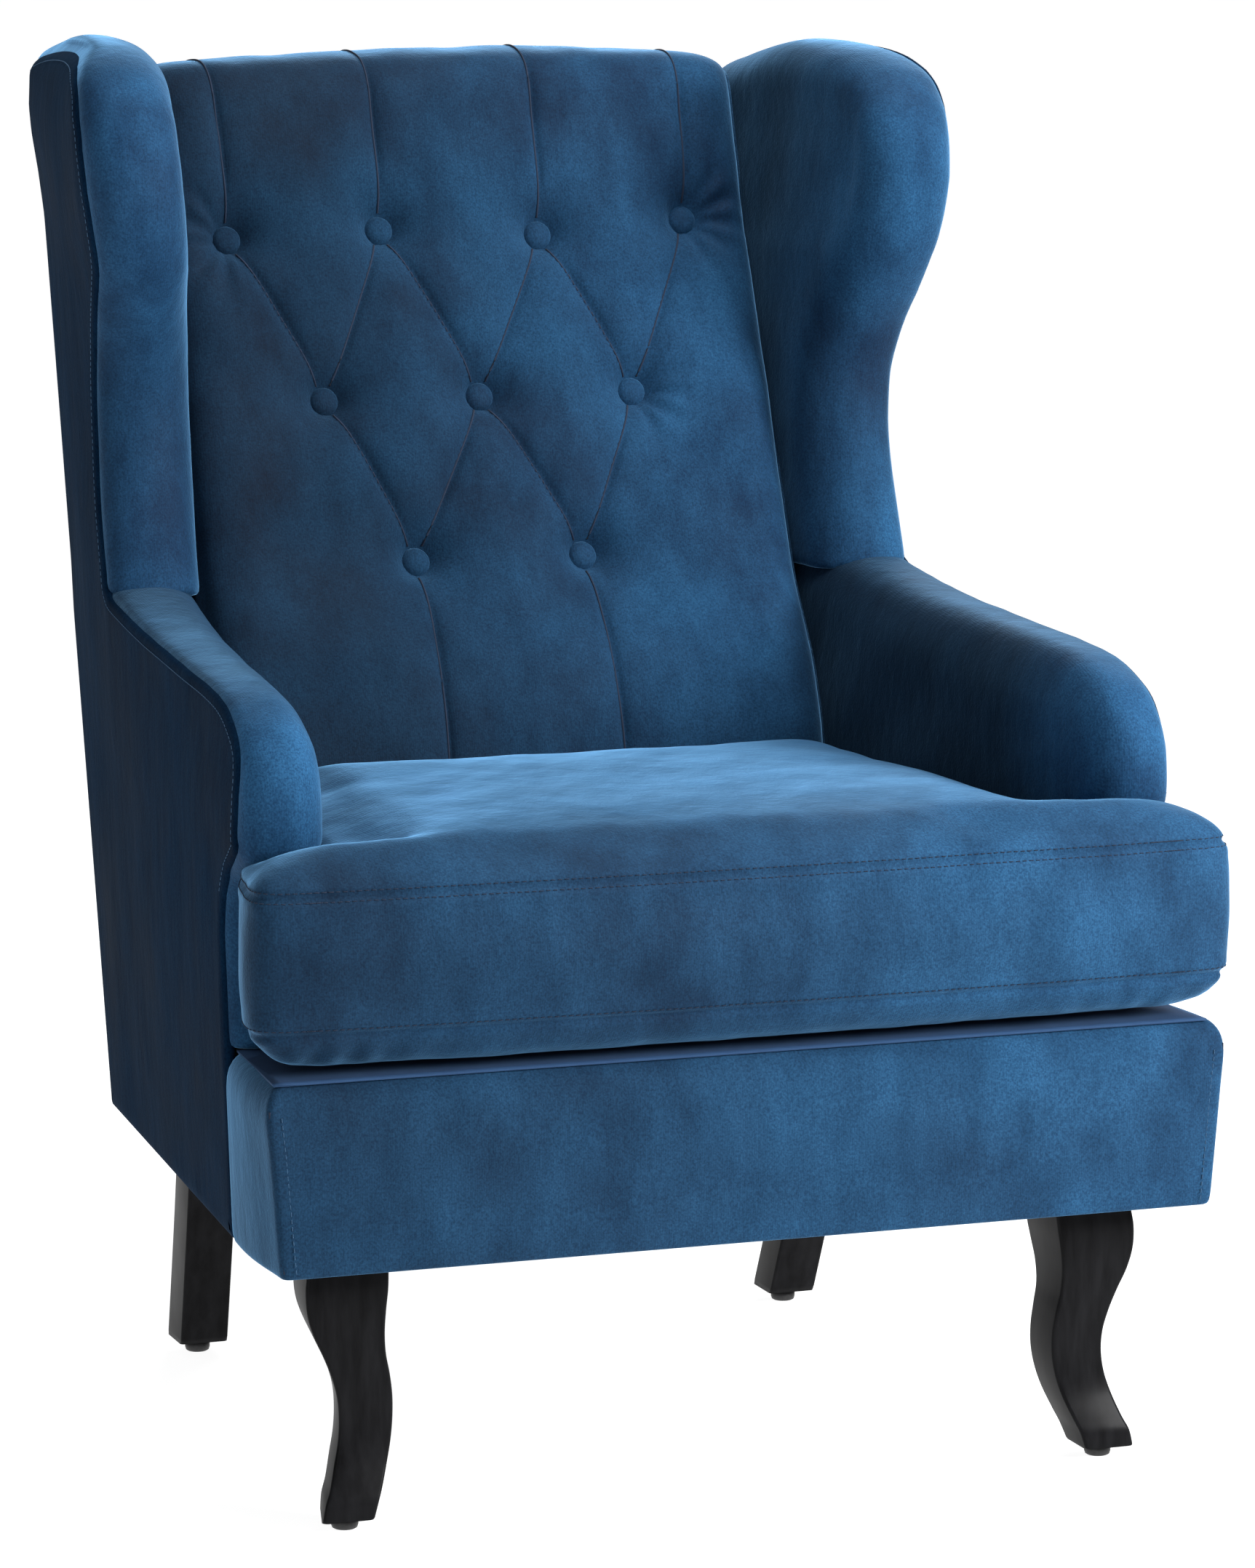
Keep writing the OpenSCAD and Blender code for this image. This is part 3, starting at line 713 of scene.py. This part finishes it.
def pad_point(x, v, lift=0.0):
    """Points of the cover at x and distance v along the padding, raised by lift."""
    x, v = np.atleast_1d(np.asarray(x, float)), np.atleast_1d(np.asarray(v, float))
    base = np.stack([np.interp(v, pad_v, pad_line[:, k]) for k in (0, 1)], 1)
    out = np.stack([np.interp(v, pad_v, pad_out[:, k]) for k in (0, 1)], 1)
    place = base - out * (recess(x, v) - lift)[:, None]
    place[:, 1] -= smoothstep(place[:, 1], 900, 980) * np.interp(x, [-200, -60, 120], [4, 3, 0])
    return np.c_[x, place], np.c_[np.zeros(len(x)), out]


def tufted_pad():
    """The padded back: a grid over its front, closed by walls and a rear face."""
    columns = np.linspace(-PAD_HALF, PAD_HALF, 201)
    grid_x, grid_v = np.meshgrid(columns, pad_v)
    front, _ = pad_point(grid_x.ravel(), grid_v.ravel())
    rows, n = grid_x.shape
    faces = [(r * n + c, r * n + c + 1, (r + 1) * n + c + 1, (r + 1) * n + c)
             for r in range(rows - 1) for c in range(n - 1)]
    rim = (list(range(n)) + [r * n + n - 1 for r in range(1, rows)]
           + [(rows - 1) * n + c for c in range(n - 2, -1, -1)] + [r * n for r in range(rows - 2, 0, -1)])
    behind = front[rim].copy()
    behind[:, 1] = np.maximum(behind[:, 1] + 2, rear_y(behind[:, 2]) - 30)
    start = len(front)
    m = len(rim)
    faces += [(rim[i], rim[(i + 1) % m], start + (i + 1) % m, start + i) for i in range(m)]
    faces.append(tuple(range(start, start + m)))
    return mesh_object("back_pad", np.concatenate([front, behind]), faces)


finished(tufted_pad(), velvet_back, ["back_cover", "back_foam"])


def tube(points, radius, sides=6):
    """Vertices and faces of a closed tube along points."""
    run = np.gradient(points, axis=0)
    run /= np.linalg.norm(run, axis=1)[:, None]
    helper = np.where(np.abs(run[:, 2:3]) < 0.9, [[0, 0, 1.0]], [[1.0, 0, 0]])
    u = np.cross(run, helper)
    u /= np.linalg.norm(u, axis=1)[:, None]
    w = np.cross(run, u)
    angles = np.arange(sides) * 2 * math.pi / sides
    rings = [points + radius * (math.cos(a) * u + math.sin(a) * w) for a in angles]
    verts = np.stack(rings, 1).reshape(-1, 3)
    faces = strip_faces([verts[i * sides:(i + 1) * sides] for i in range(len(points))])
    last = (len(points) - 1) * sides
    return verts, faces + [tuple(range(sides))[::-1], tuple(range(last, last + sides))]


def joined(name, parts):
    """One object from several (vertices, faces) pairs."""
    verts, faces, start = [], [], 0
    for v, f in parts:
        verts.append(v)
        faces += [tuple(i + start for i in face) for face in f]
        start += len(v)
    return mesh_object(name, np.concatenate(verts), faces)


def pleat_seams():
    """Dark sewn line at the bottom of each pleat."""
    parts = []
    for a, b, _, _ in PLEATS:
        a, b = np.array(a), np.array(b)
        run = (b - a) / np.linalg.norm(b - a)
        open_end = b[1] in (TOP_V, FOOT_V)
        line = resample(np.stack([a + run * 13, b if open_end else b - run * 13]), 4)
        points, _ = pad_point(line[:, 0], line[:, 1], lift=0.45)
        parts.append(tube(points, 0.8))
    return joined("pleat_seams", parts)


finished(pleat_seams(), pleat_dark)


def button_domes():
    """Cloth-covered buttons with a domed face and a tucked rim."""
    profile = spline([(0, 8.2), (4.5, 7.8), (8.4, 6.4), (11, 4.0), (12.2, 1.2), (11.6, -1.8), (8.0, -3.5)], 3)
    around = 40
    angles = np.arange(around) * 2 * math.pi / around
    parts = []
    for k, (bx, bv) in enumerate(places):
        centre, out = pad_point(bx, bv, lift=-1.0)
        out = out[0]
        right = np.array([1.0, 0, 0])
        up = np.cross(out, right)
        rings = []
        for r, h in profile[1:]:
            wrinkle = 1 + 0.012 * np.sin(angles * 9 + k) * (h < 4)
            flat = (np.outer(np.cos(angles) * r * wrinkle, right)
                    + np.outer(np.sin(angles) * r * wrinkle, up))
            rings.append(centre[0] + flat + out * h)
        verts = np.concatenate(rings + [[centre[0] + out * profile[0][1]]])
        tip = len(verts) - 1
        last = (len(rings) - 1) * around
        faces = strip_faces(rings) + [(tip, (i + 1) % around, i) for i in range(around)]
        faces.append(tuple(range(last, last + around)))
        parts.append((verts, faces))
    return joined("button_domes", parts)


finished(button_domes(), velvet_back, ["back_buttons"])


def button_twines():
    """Twine from each button through the padding to the webbing."""
    parts = []
    for bx, bv in places:
        start, out = pad_point(bx, bv, lift=-6.0)
        reach = rear_y(start[0][2]) - 24 - start[0][1]
        parts.append(tube(start[0] - out[0] * np.linspace(0, max(reach, 3), 4)[:, None], 1.0))
    return joined("button_twines", parts)


finished(button_twines(), CAD_FINISHES["twine"], ["tufting_twines"])


# ---- base border, outside back, deck and lining

BORDER_HALF = [190, 270, 300, 322], [343.0, 349.5, 352.5, 352.0]        # [heights], [half widths]
BORDER_SHIFT = 3.0      # the front corners of the border stand this far to the right of the middle


def u_path(z, t):
    """Plan line of the border at height z and inward distance t, from the left return round to the right."""
    corner = 5.0
    y_front = BASE_FRONT + t
    start = y_front + corner + 12
    rear_half = float(side_x(PANEL_FRONT, z)) + 0.8 - t
    halves = []
    for side in (-1, 1):
        half = float(np.interp(z, *BORDER_HALF)) - t + side * BORDER_SHIFT
        bow = [(half + (rear_half - half) * k + 3 * math.sin(math.pi * k),
                start + (PANEL_FRONT - start) * k) for k in np.linspace(0, 1, 12)]
        arc = [(half - corner + corner * math.sin(a), y_front + corner - corner * math.cos(a))
               for a in np.radians((0, 22, 45, 68, 90))]
        across = [(x, y_front) for x in np.linspace(0, half - corner - 4, 26)]
        halves.append(np.array(across + arc + bow) * [side, 1])
    return np.concatenate([halves[0][1:][::-1], halves[1]])


def border_rings():
    """Section rings of the border, from inside its foot round its face to inside its top."""
    heights = [(SKIRT + 0.8, 8, 0), (SKIRT, 3.5, 0), (SKIRT + 0.6, 1.4, 0), (SKIRT + 3, 0.2, 0)]
    heights += [(z, 0, 1) for z in np.linspace(198, 298, 14)]
    heights += [(306, 0.8, 0.8), (312, 2.4, 0.4), (317, 5.5, 0.1), (320.6, 10, 0), (321.6, 15, 0),
                (318, 17, 0), (300, 17, 0)]
    rings = []
    for z, t, full in heights:
        plan = u_path(z, t)
        half = np.max(np.abs(plan[:, 0]))
        near = np.clip((half - np.abs(plan[:, 0])) / 70, 0, 1)
        on_front = plan[:, 1] < BASE_FRONT + 17
        bulge = 3.0 * full * math.sin(math.pi * (z - BASE_BOTTOM) / 132) ** 0.7 if full else 0.0
        p = np.c_[plan, np.full(len(plan), z)]
        p[:, 1] -= on_front * (bulge * near ** 0.6 + full * 0.6 * waves(p, 140, 91))
        rings.append(p)
    return rings


def front_border_cloth():
    """Closed solid from the border's section rings, with its two ends capped."""
    rings = border_rings()
    n = len(rings[0])
    faces = strip_faces(rings + [rings[0]], closed=False)
    total = len(rings) * n
    faces = [tuple(i % total for i in f) for f in faces]
    faces.append(tuple(k * n for k in range(len(rings))))
    faces.append(tuple(k * n + n - 1 for k in range(len(rings)))[::-1])
    obj = mesh_object("front_border_cloth", np.concatenate(rings), faces)
    return applied(obj, "SUBSURF", levels=1, render_levels=1)


finished(front_border_cloth(), velvet_seat, ["front_border"])
border_seams = []
for side in (-1, 1):
    z = np.linspace(SKIRT + 5, 304, 40)
    corner_x = side * (np.interp(z, *BORDER_HALF) - 2.6) + BORDER_SHIFT
    border_seams.append(tube(np.c_[corner_x, np.full(40, BASE_FRONT + 1.7), z], 0.8))
    stitch_paths.append(np.c_[corner_x - side * 7.5, np.full(40, BASE_FRONT - 1.2), z])


BACK_PANEL_TOP = 964.0


def outside_back():
    """Cloth panel over the rear, its edges folded under against the side panels."""
    z = np.linspace(SKIRT + 0.5, BACK_PANEL_TOP, 80)
    half = side_x(rear_y(z), z) - 7.5
    right = np.c_[half, z]
    top = np.array([[half[-1] * k, BACK_PANEL_TOP + 3 * (1 - k ** 2)] for k in np.linspace(0.97, -0.97, 48)])
    foot = np.array([[half[0] * k, SKIRT + 0.5] for k in np.linspace(-0.97, 0.97, 48)])
    line = np.concatenate([right, top, right[::-1] * [-1, 1], foot])
    inward = -closed_normals(line)
    rings = [np.c_[(line + inward * d)[:, 0], np.full(len(line), t), (line + inward * d)[:, 1]]
             for t, d in ((4.2, 0.3), (2.4, 0.0), (1.0, 1.0), (0.2, 3.0), (-0.3, 8.0))]
    obj = capped("outside_back_cloth", rings, step=12, plane=(0, 2))
    p = points_of(obj)
    middle = p[:, 1] < -0.2
    flat = distance_to_line(p[:, [0, 2]], closed(line[::3]))
    p[:, 1] -= middle * (1.5 * smoothstep(flat, 8, 120) + 0.6 * waves(p, 150, 17))
    p[:, 1] = rear_y(p[:, 2]) - np.maximum(p[:, 1], -2.5) - 0.2
    set_points(obj, p)
    return obj


finished(outside_back(), velvet_panels, ["outside_back_panel"])


def flat_sheet(name, outline, z, thickness, step, sag, seed):
    """Thin level cloth of the given plan outline with slight slack."""
    line = np.array(outline, float)
    rings = [np.c_[line, np.full(len(line), z + dz)] for dz in (0, thickness)]
    obj = capped(name, rings, step=step, plane=(0, 1))
    p = points_of(obj)
    inside = smoothstep(distance_to_line(p[:, :2], closed(line)), 4, 120)
    p[:, 2] += inside * (sag + 0.5 * waves(np.c_[p[:, :2], np.zeros(len(p))], 160, seed))
    set_points(obj, p)
    return obj


def tray_outline(front, rear, gap, z):
    """Plan outline between the side panels, gap inside their outer faces at height z."""
    ys = np.linspace(front, rear, 30)
    right = np.stack([side_x(ys, z) - gap, ys], 1)
    across = np.stack([np.linspace(right[-1, 0], -right[-1, 0], 40)[1:-1], np.full(38, rear)], 1)
    left = right[::-1] * [-1, 1]
    ahead = np.stack([np.linspace(left[-1, 0], right[0, 0], 40)[1:-1], np.full(38, front)], 1)
    return np.concatenate([right, across, left, ahead])


def deck_outline():
    """Plan outline of the deck: the CAD cloth's depth, as wide as the room between the arms."""
    low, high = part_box("deck_cloth")
    front, rear = low.y / MM + 0.5, high.y / MM - 0.5
    ys = np.array([front, -240.0, -232.0, -120.0, 0.0, rear])
    gap = np.where(ys < -236, 8.5, THICK - 3)
    right = np.stack([side_x(ys, DECK_TOP) - gap, ys], 1)
    return np.concatenate([right, right[::-1] * [-1, 1]])


deck_line = deck_outline()
lining_line = tray_outline(-361, 213, 9, BASE_BOTTOM)
deck = flat_sheet("deck_sheet", deck_line, DECK_TOP - 2.2, 1.6, 16, -0.6, 41)
finished(deck, CAD_FINISHES["deck_fabric"], ["deck_cloth"])
wadding = flat_sheet("deck_wadding", deck_line * 0.985, DECK_TOP - 9.5, 6.6, 24, -0.3, 43)
finished(wadding, CAD_FINISHES["felt"], ["deck_pad"])
lining = flat_sheet("base_lining", lining_line, BASE_BOTTOM + 1.2, 1.2, 20, 0.8, 47)
finished(lining, CAD_FINISHES["lining"], ["dust_cover"])


# ---- seat cushion

UPPER_SEAM = 446.0
LOWER_SEAM = 353.0
EAR_BACK = -253.0       # rear edge of the ears, ahead of the arms
CUSHION_REAR = 69.0
RIGHT_EAR_REACH = 8.0   # the right ear stands this much further out than the left
VOXEL = 5.0
SIM_FRAMES = 20


def cushion_outline():
    """Plan of the T-shaped cushion: bowed front, square ears, body between the arms."""
    back = EAR_BACK
    inner_front = float(side_x(back, 390)) - THICK + 4
    inner_rear = float(side_x(66.0, 390)) - THICK - 5
    middle = (inner_front + inner_rear) / 2
    front = spline([(0, -387), (90, -386.5), (180, -384.5), (270, -381), (344, -375)], 6)
    corner = spline([(344, -375), (353, -371), (357, -363), (358, -352)], 5)[1:]
    flank = spline([(358, -352), (356, -332), (350, -305), (343, -280), (338, -264)], 4)[1:]
    ear = spline([(338, -264), (335, -257), (327, back), (300, back), (inner_front + 7, back),
                  (inner_front + 1, back + 3), (inner_front, back + 10)], 3)[1:]
    body = spline([(inner_front, back + 10), (middle, -90), (inner_rear, 44)], 8)[1:]
    rear = spline([(inner_rear, 44), (inner_rear - 4, 60), (inner_rear - 18, 66), (120, 67), (0, 67)], 5)[1:]
    right = np.concatenate([front, corner, flank, ear, body, rear])
    return resample(closed(np.concatenate([right, right[1:-1][::-1] * [-1, 1]])), 7)[:-1]


def beyond_nose(p):
    """0 where the noses of the arms stand over the ears of the cushion, rising to 1 away from them."""
    return np.maximum(smoothstep(-p[:, 1], 300, 330), 1 - smoothstep(np.abs(p[:, 0]), 190, 250))


def cushion_start():
    """The cushion before it is blown up: straight walls, low domes above and below."""
    line = cushion_outline()
    inward = -closed_normals(line)
    walls = [(LOWER_SEAM, 1.0), (370, -0.5), (400, -1.5), (430, -0.5), (UPPER_SEAM, 1.0)]
    rings = [np.c_[line + inward * d, np.full(len(line), z)] for z, d in walls]
    obj = capped("seat_cushion_pad", rings, step=7, plane=(0, 1))
    p = points_of(obj)
    d = distance_to_line(p[:, :2], closed(line))
    top = p[:, 2] > UPPER_SEAM - 0.5
    low = p[:, 2] < LOWER_SEAM + 0.5
    p[:, 0] += RIGHT_EAR_REACH * smoothstep(p[:, 0], 200, 330)
    roll = np.sqrt(np.clip(1 - (1 - np.clip(d / 44, 0, 1)) ** 2, 0, 1))
    p[:, 2] += top * np.minimum(23 * roll + 5 * smoothstep(d, 30, 150), 15 + 40 * beyond_nose(p))
    p[:, 2] -= low * (1 - np.exp(-d / 20)) * (LOWER_SEAM - CUSHION_LOW)
    set_points(obj, p)
    return applied(obj, "REMESH", mode="VOXEL", voxel_size=VOXEL * MM), line


def swell_limits(p, line):
    """How far the filling may push each point."""
    d = distance_to_line(p[:, :2], closed(line))
    up = smoothstep(p[:, 2], UPPER_SEAM - 12, UPPER_SEAM + 4)
    beside_arm = smoothstep(p[:, 1], -275, -250) * (1 - smoothstep(d, 6, 30))
    low = 1 - smoothstep(p[:, 2], CUSHION_LOW + 2, LOWER_SEAM + 4)
    limit = 8 * (1 - up) + (0.8 + 9 * beyond_nose(p)) * up
    return np.minimum(limit, 9 * (1 - low)) * (1 - 0.85 * beside_arm)


def blown_up(obj, line):
    """Cloth simulation with pressure inside, held to the room the cushion has."""
    before = points_of(obj)
    cloth_modifier = obj.modifiers.new("cloth", "CLOTH")
    settings = cloth_modifier.settings
    settings.quality = 5
    settings.mass = 0.3
    settings.tension_stiffness = 22
    settings.compression_stiffness = 22
    settings.bending_stiffness = 1.2
    settings.use_pressure = True
    settings.uniform_pressure_force = 4.0
    settings.effector_weights.gravity = 0.0
    cloth_modifier.collision_settings.use_collision = False
    cloth_modifier.collision_settings.use_self_collision = False
    scene = bpy.context.scene
    for step in range(1, SIM_FRAMES + 1):
        scene.frame_set(step)
    mesh = evaluated_mesh(obj)
    obj.modifiers.clear()
    after = vertex_values(mesh, "co")
    bpy.data.meshes.remove(mesh)
    scene.frame_set(1)
    moved = after / MM - before
    moved -= moved.mean(0) * [1, 1, 0]
    size = np.linalg.norm(moved, axis=1)
    limit = swell_limits(before, line)
    capped_size = limit * np.tanh(size / np.maximum(limit, 1e-6))
    share = np.where(size > 1e-6, capped_size / np.maximum(size, 1e-6), 0)
    set_points(obj, before + moved * share[:, None])


def seamed(obj):
    """Draws the two seams in, wrinkles the cloth beside them and keeps the cushion in its room."""
    p = points_of(obj)
    n = vertex_values(obj.data, "normal")
    flat = n.copy()
    flat[:, 2] *= 0.3
    for seam, depth in ((UPPER_SEAM + 1, 2.6), (LOWER_SEAM, 3.2)):
        groove = np.exp(-((p[:, 2] - seam) / 2.6) ** 2)
        ridge = np.exp(-((p[:, 2] - seam - 6) / 4) ** 2) + np.exp(-((p[:, 2] - seam + 6) / 4) ** 2)
        side_on = 1 - np.abs(n[:, 2]) ** 2
        p -= flat * ((groove * depth - ridge * 0.7) * side_on)[:, None]
    low = np.exp(-((p[:, 2] - LOWER_SEAM + 12) / 10) ** 2) * (p[:, 1] < -250)
    corner = smoothstep(np.abs(p[:, 0]), 150, 330) * (0.5 + 0.5 * (p[:, 0] < 0))
    p -= n * (low * corner * 1.1 * np.sin(p[:, 0] / 5.2 + 1.5 * np.sin(p[:, 0] / 23)))[:, None]
    p += n * (0.6 * waves(p, 110, 61) + 0.25 * waves(p, 45, 62))[:, None]
    p[:, 2] = np.maximum(p[:, 2], CUSHION_LOW)
    beside = p[:, 1] > -250
    room = side_x(p[:, 1], p[:, 2]) - slimmed(np.full(len(p), THICK + 1.5), p[:, 1])
    p[:, 0] = np.where(beside, np.clip(p[:, 0], -room, room), p[:, 0])
    p[:, 1] = np.minimum(p[:, 1], CUSHION_REAR)
    set_points(obj, p)


cushion, cushion_line = cushion_start()
blown_up(cushion, cushion_line)
applied(cushion, "CORRECTIVE_SMOOTH", iterations=14, use_only_smooth=True)
applied(cushion, "SUBSURF", levels=1, render_levels=1)
seamed(cushion)
finished(cushion, velvet_seat, ["cushion_cover", "cushion_foam"], body=CUSHION_BODY)


# ---- stitching

STITCH_STEP = 5         # from the start of one stitch to the next, along points 1 mm apart
STITCH_LENGTH = 3


def stitches(name, paths, material, body):
    """Short thread capsules along each path."""
    parts = []
    for path in paths:
        line = resample(path, 1.0)
        for i in range(0, len(line) - STITCH_LENGTH, STITCH_STEP):
            parts.append(tube(line[i:i + STITCH_LENGTH + 1], 0.36, 5))
    return finished(joined(name, parts), material, body=body)


def on_cushion(z):
    """Path round the front and ears of the cushion at height z, laid on its surface."""
    tree = BVHTree.FromPolygons([v.co for v in cushion.data.vertices],
                                [list(f.vertices) for f in cushion.data.polygons])
    line = cushion_line[cushion_line[:, 1] < -255]
    order = np.argsort(np.arctan2(line[:, 0], -(line[:, 1] + 150)))
    line = resample(line[order], 4)
    out = []
    for x, y in line:
        if abs(x) < 325 and y < -340:
            inward = Vector((-x * 0.35, 260 + (y + 386) * 0.2, 0)).normalized()
        else:
            inward = Vector((-np.sign(x), 0.25, 0)).normalized()
        start = Vector((x, y, z)) - inward * 40
        hit, _, _, _ = tree.ray_cast(start * MM, inward)
        if hit:
            out.append(np.array(hit) / MM - np.array(inward) * 0.4)
    return np.array(out)


finished(joined("border_corner_seams", border_seams), pleat_dark)
stitches("frame_stitching", stitch_paths, thread_light, FRAME_BODY)
cushion_rows = [on_cushion(z) for z in (UPPER_SEAM + 4.2, UPPER_SEAM - 2.2, LOWER_SEAM + 4.5)]
stitches("cushion_stitching", cushion_rows, pleat_dark, CUSHION_BODY)


# ---- legs

FRONT_LEG = [  # height, inner x, outer x, front y, rear y
    (8.5, 265.5, 302.5, -339, -302), (20, 262, 300, -338, -297), (30, 258, 295.5, -334, -292),
    (45, 252.5, 290.5, -327, -285), (60, 248.5, 286.5, -323, -281), (75, 246.5, 285, -321, -279),
    (90, 246.5, 286, -321, -279), (105, 248.5, 290, -322, -279), (120, 251.5, 296, -323, -277),
    (135, 252.5, 303, -324, -272), (150, 251.5, 307.5, -324, -266), (165, 249.5, 308.5, -323, -263),
    (178, 248.5, 307, -321, -264), (190, 247.5, 306.5, -319, -265)]
REAR_LEG = [(10, 222.5, 259.5, 171, 209), (60, 225, 262, 151.5, 189.5), (120, 228, 265, 128.5, 166.5),
            (190, 231.5, 268.5, 103.5, 141.5)]


FOOT_CENTRES = (282, -321), (241, 191)
CORNERS = [(cx, cy, math.radians(angle))
           for cx, cy, first in ((1, 1, 0), (-1, 1, 90), (-1, -1, 180), (1, -1, 270))
           for angle in np.linspace(first, first + 90, 6)]


def lofted_leg(name, side, sections, edge, taper):
    """Leg of four-sided sections with rounded edges.

    Its outer side turns inward by taper at the rear.
    """
    rings = []
    for k, (z, x0, x1, y0, y1) in enumerate(spline(sections, 7)):
        r = edge * (1.6 if k == 0 else 1.0)
        half_x, half_y = (x1 - x0) / 2 - r, (y1 - y0) / 2 - r
        ring = []
        for cx, cy, angle in CORNERS:
            x = (x0 + x1) / 2 + cx * half_x - taper * (cx > 0) * (cy > 0) + r * math.cos(angle)
            ring.append([side * x, (y0 + y1) / 2 + cy * half_y + r * math.sin(angle), z])
        rings.append(np.array(ring))
    return capped(name, rings)


def foot_discs():
    """Plastic glides nailed under the feet."""
    n = 40
    around = np.arange(n) * 2 * math.pi / n
    profile = ((0, 7.5), (0.8, 8.8), (3, 9.5), (6.5, 9.5), (7, 8.6), (9.5, 8.6))
    parts = []
    for x, y in FOOT_CENTRES:
        for side in (-1, 1):
            rings = [np.c_[side * x + r * np.cos(around), y + r * np.sin(around), np.full(n, z)]
                     for z, r in profile]
            verts = np.concatenate(rings)
            ends = [tuple(range(n))[::-1], tuple(range(len(verts) - n, len(verts)))]
            parts.append((verts, strip_faces(rings) + ends))
    return joined("foot_discs", parts)


for word, side in SIDES:
    front_leg = lofted_leg(f"{word}_front_leg_turned", side, FRONT_LEG, 2.6, 8.0)
    finished(front_leg, black_lacquer, [f"{word}_front_leg"])
    rear_leg = lofted_leg(f"{word}_rear_leg_raked", side, REAR_LEG, 2.0, 0.0)
    finished(rear_leg, black_lacquer, [f"{word}_rear_leg"])
finished(foot_discs(), CAD_FINISHES["black_plastic"], ["foot_glides"])


# ---- CAD nodes that stay

for entry in frame["record"]["subparts"]:
    obj = nodes[entry["node"]]
    slot_name = entry["material_slot"]
    if not obj.hide_render:
        obj.data.materials.clear()
        obj.data.materials.append(CAD_FINISHES[slot_name])


# ---- stage, light and camera

def stage_floor():
    """Pale plain floor, wide enough to fill the view."""
    mesh = bpy.data.meshes.new("floor")
    half = 120.0
    corners = [(-half, -half, 0), (half, -half, 0), (half, half, 0), (-half, half, 0)]
    mesh.from_pydata(corners, [], [(0, 1, 2, 3)])
    s = Shader("pale_floor")
    s.set(Base_Color=s.ramp(s.noise(0.6), [(0.0, (0.3, 0.3, 0.3)), (1.0, (0.34, 0.34, 0.34))]), Roughness=0.9,
          Specular_IOR_Level=0.0, Emission_Color=(1, 1, 1, 1), Emission_Strength=0.93)
    mesh.materials.append(s.material)
    placed("floor", mesh)


def area_light(name, place, target, size, power):
    """Soft rectangular lamp aimed at target; lengths are in metres."""
    data = bpy.data.lights.new(name, "AREA")
    data.shape = "RECTANGLE"
    data.size, data.size_y = size
    data.energy = power
    lamp = placed(name, data)
    lamp.location = place
    lamp.rotation_euler = (Vector(target) - Vector(place)).to_track_quat("-Z", "Y").to_euler()


def studio():
    """Soft light from the right and above, over a dim sky."""
    scene = bpy.context.scene
    world = bpy.data.worlds.new("studio")
    world.use_nodes = True
    background = world.node_tree.nodes["Background"].inputs
    background["Color"].default_value = (0.96, 0.98, 1, 1)
    background["Strength"].default_value = 0.25
    scene.world = world
    scene.view_settings.view_transform = "Standard"
    area_light("key", (1.7, -1.9, 1.35), (0.1, -0.1, 0.5), (1.0, 1.0), 100)
    area_light("top", (0.5, -0.4, 2.8), (0, -0.1, 0.4), (1.8, 1.4), 58)
    area_light("fill", (-2.4, -2.8, 1.2), (0, 0, 0.5), (1.6, 2.0), 18)
    area_light("rim", (1.4, 2.4, 2.0), (0, 0, 0.7), (2.0, 1.2), 40)


def photo_camera():
    data = bpy.data.cameras.new("camera")
    data.lens = 136.6
    data.sensor_width = 36.0
    camera = placed("camera", data)
    camera.location = (-1.4479, -4.1003, 1.1220)
    camera.rotation_euler = (math.radians(90 - 8.735), 0, math.radians(-19.951))
    bpy.context.scene.camera = camera


stage_floor()
studio()
photo_camera()
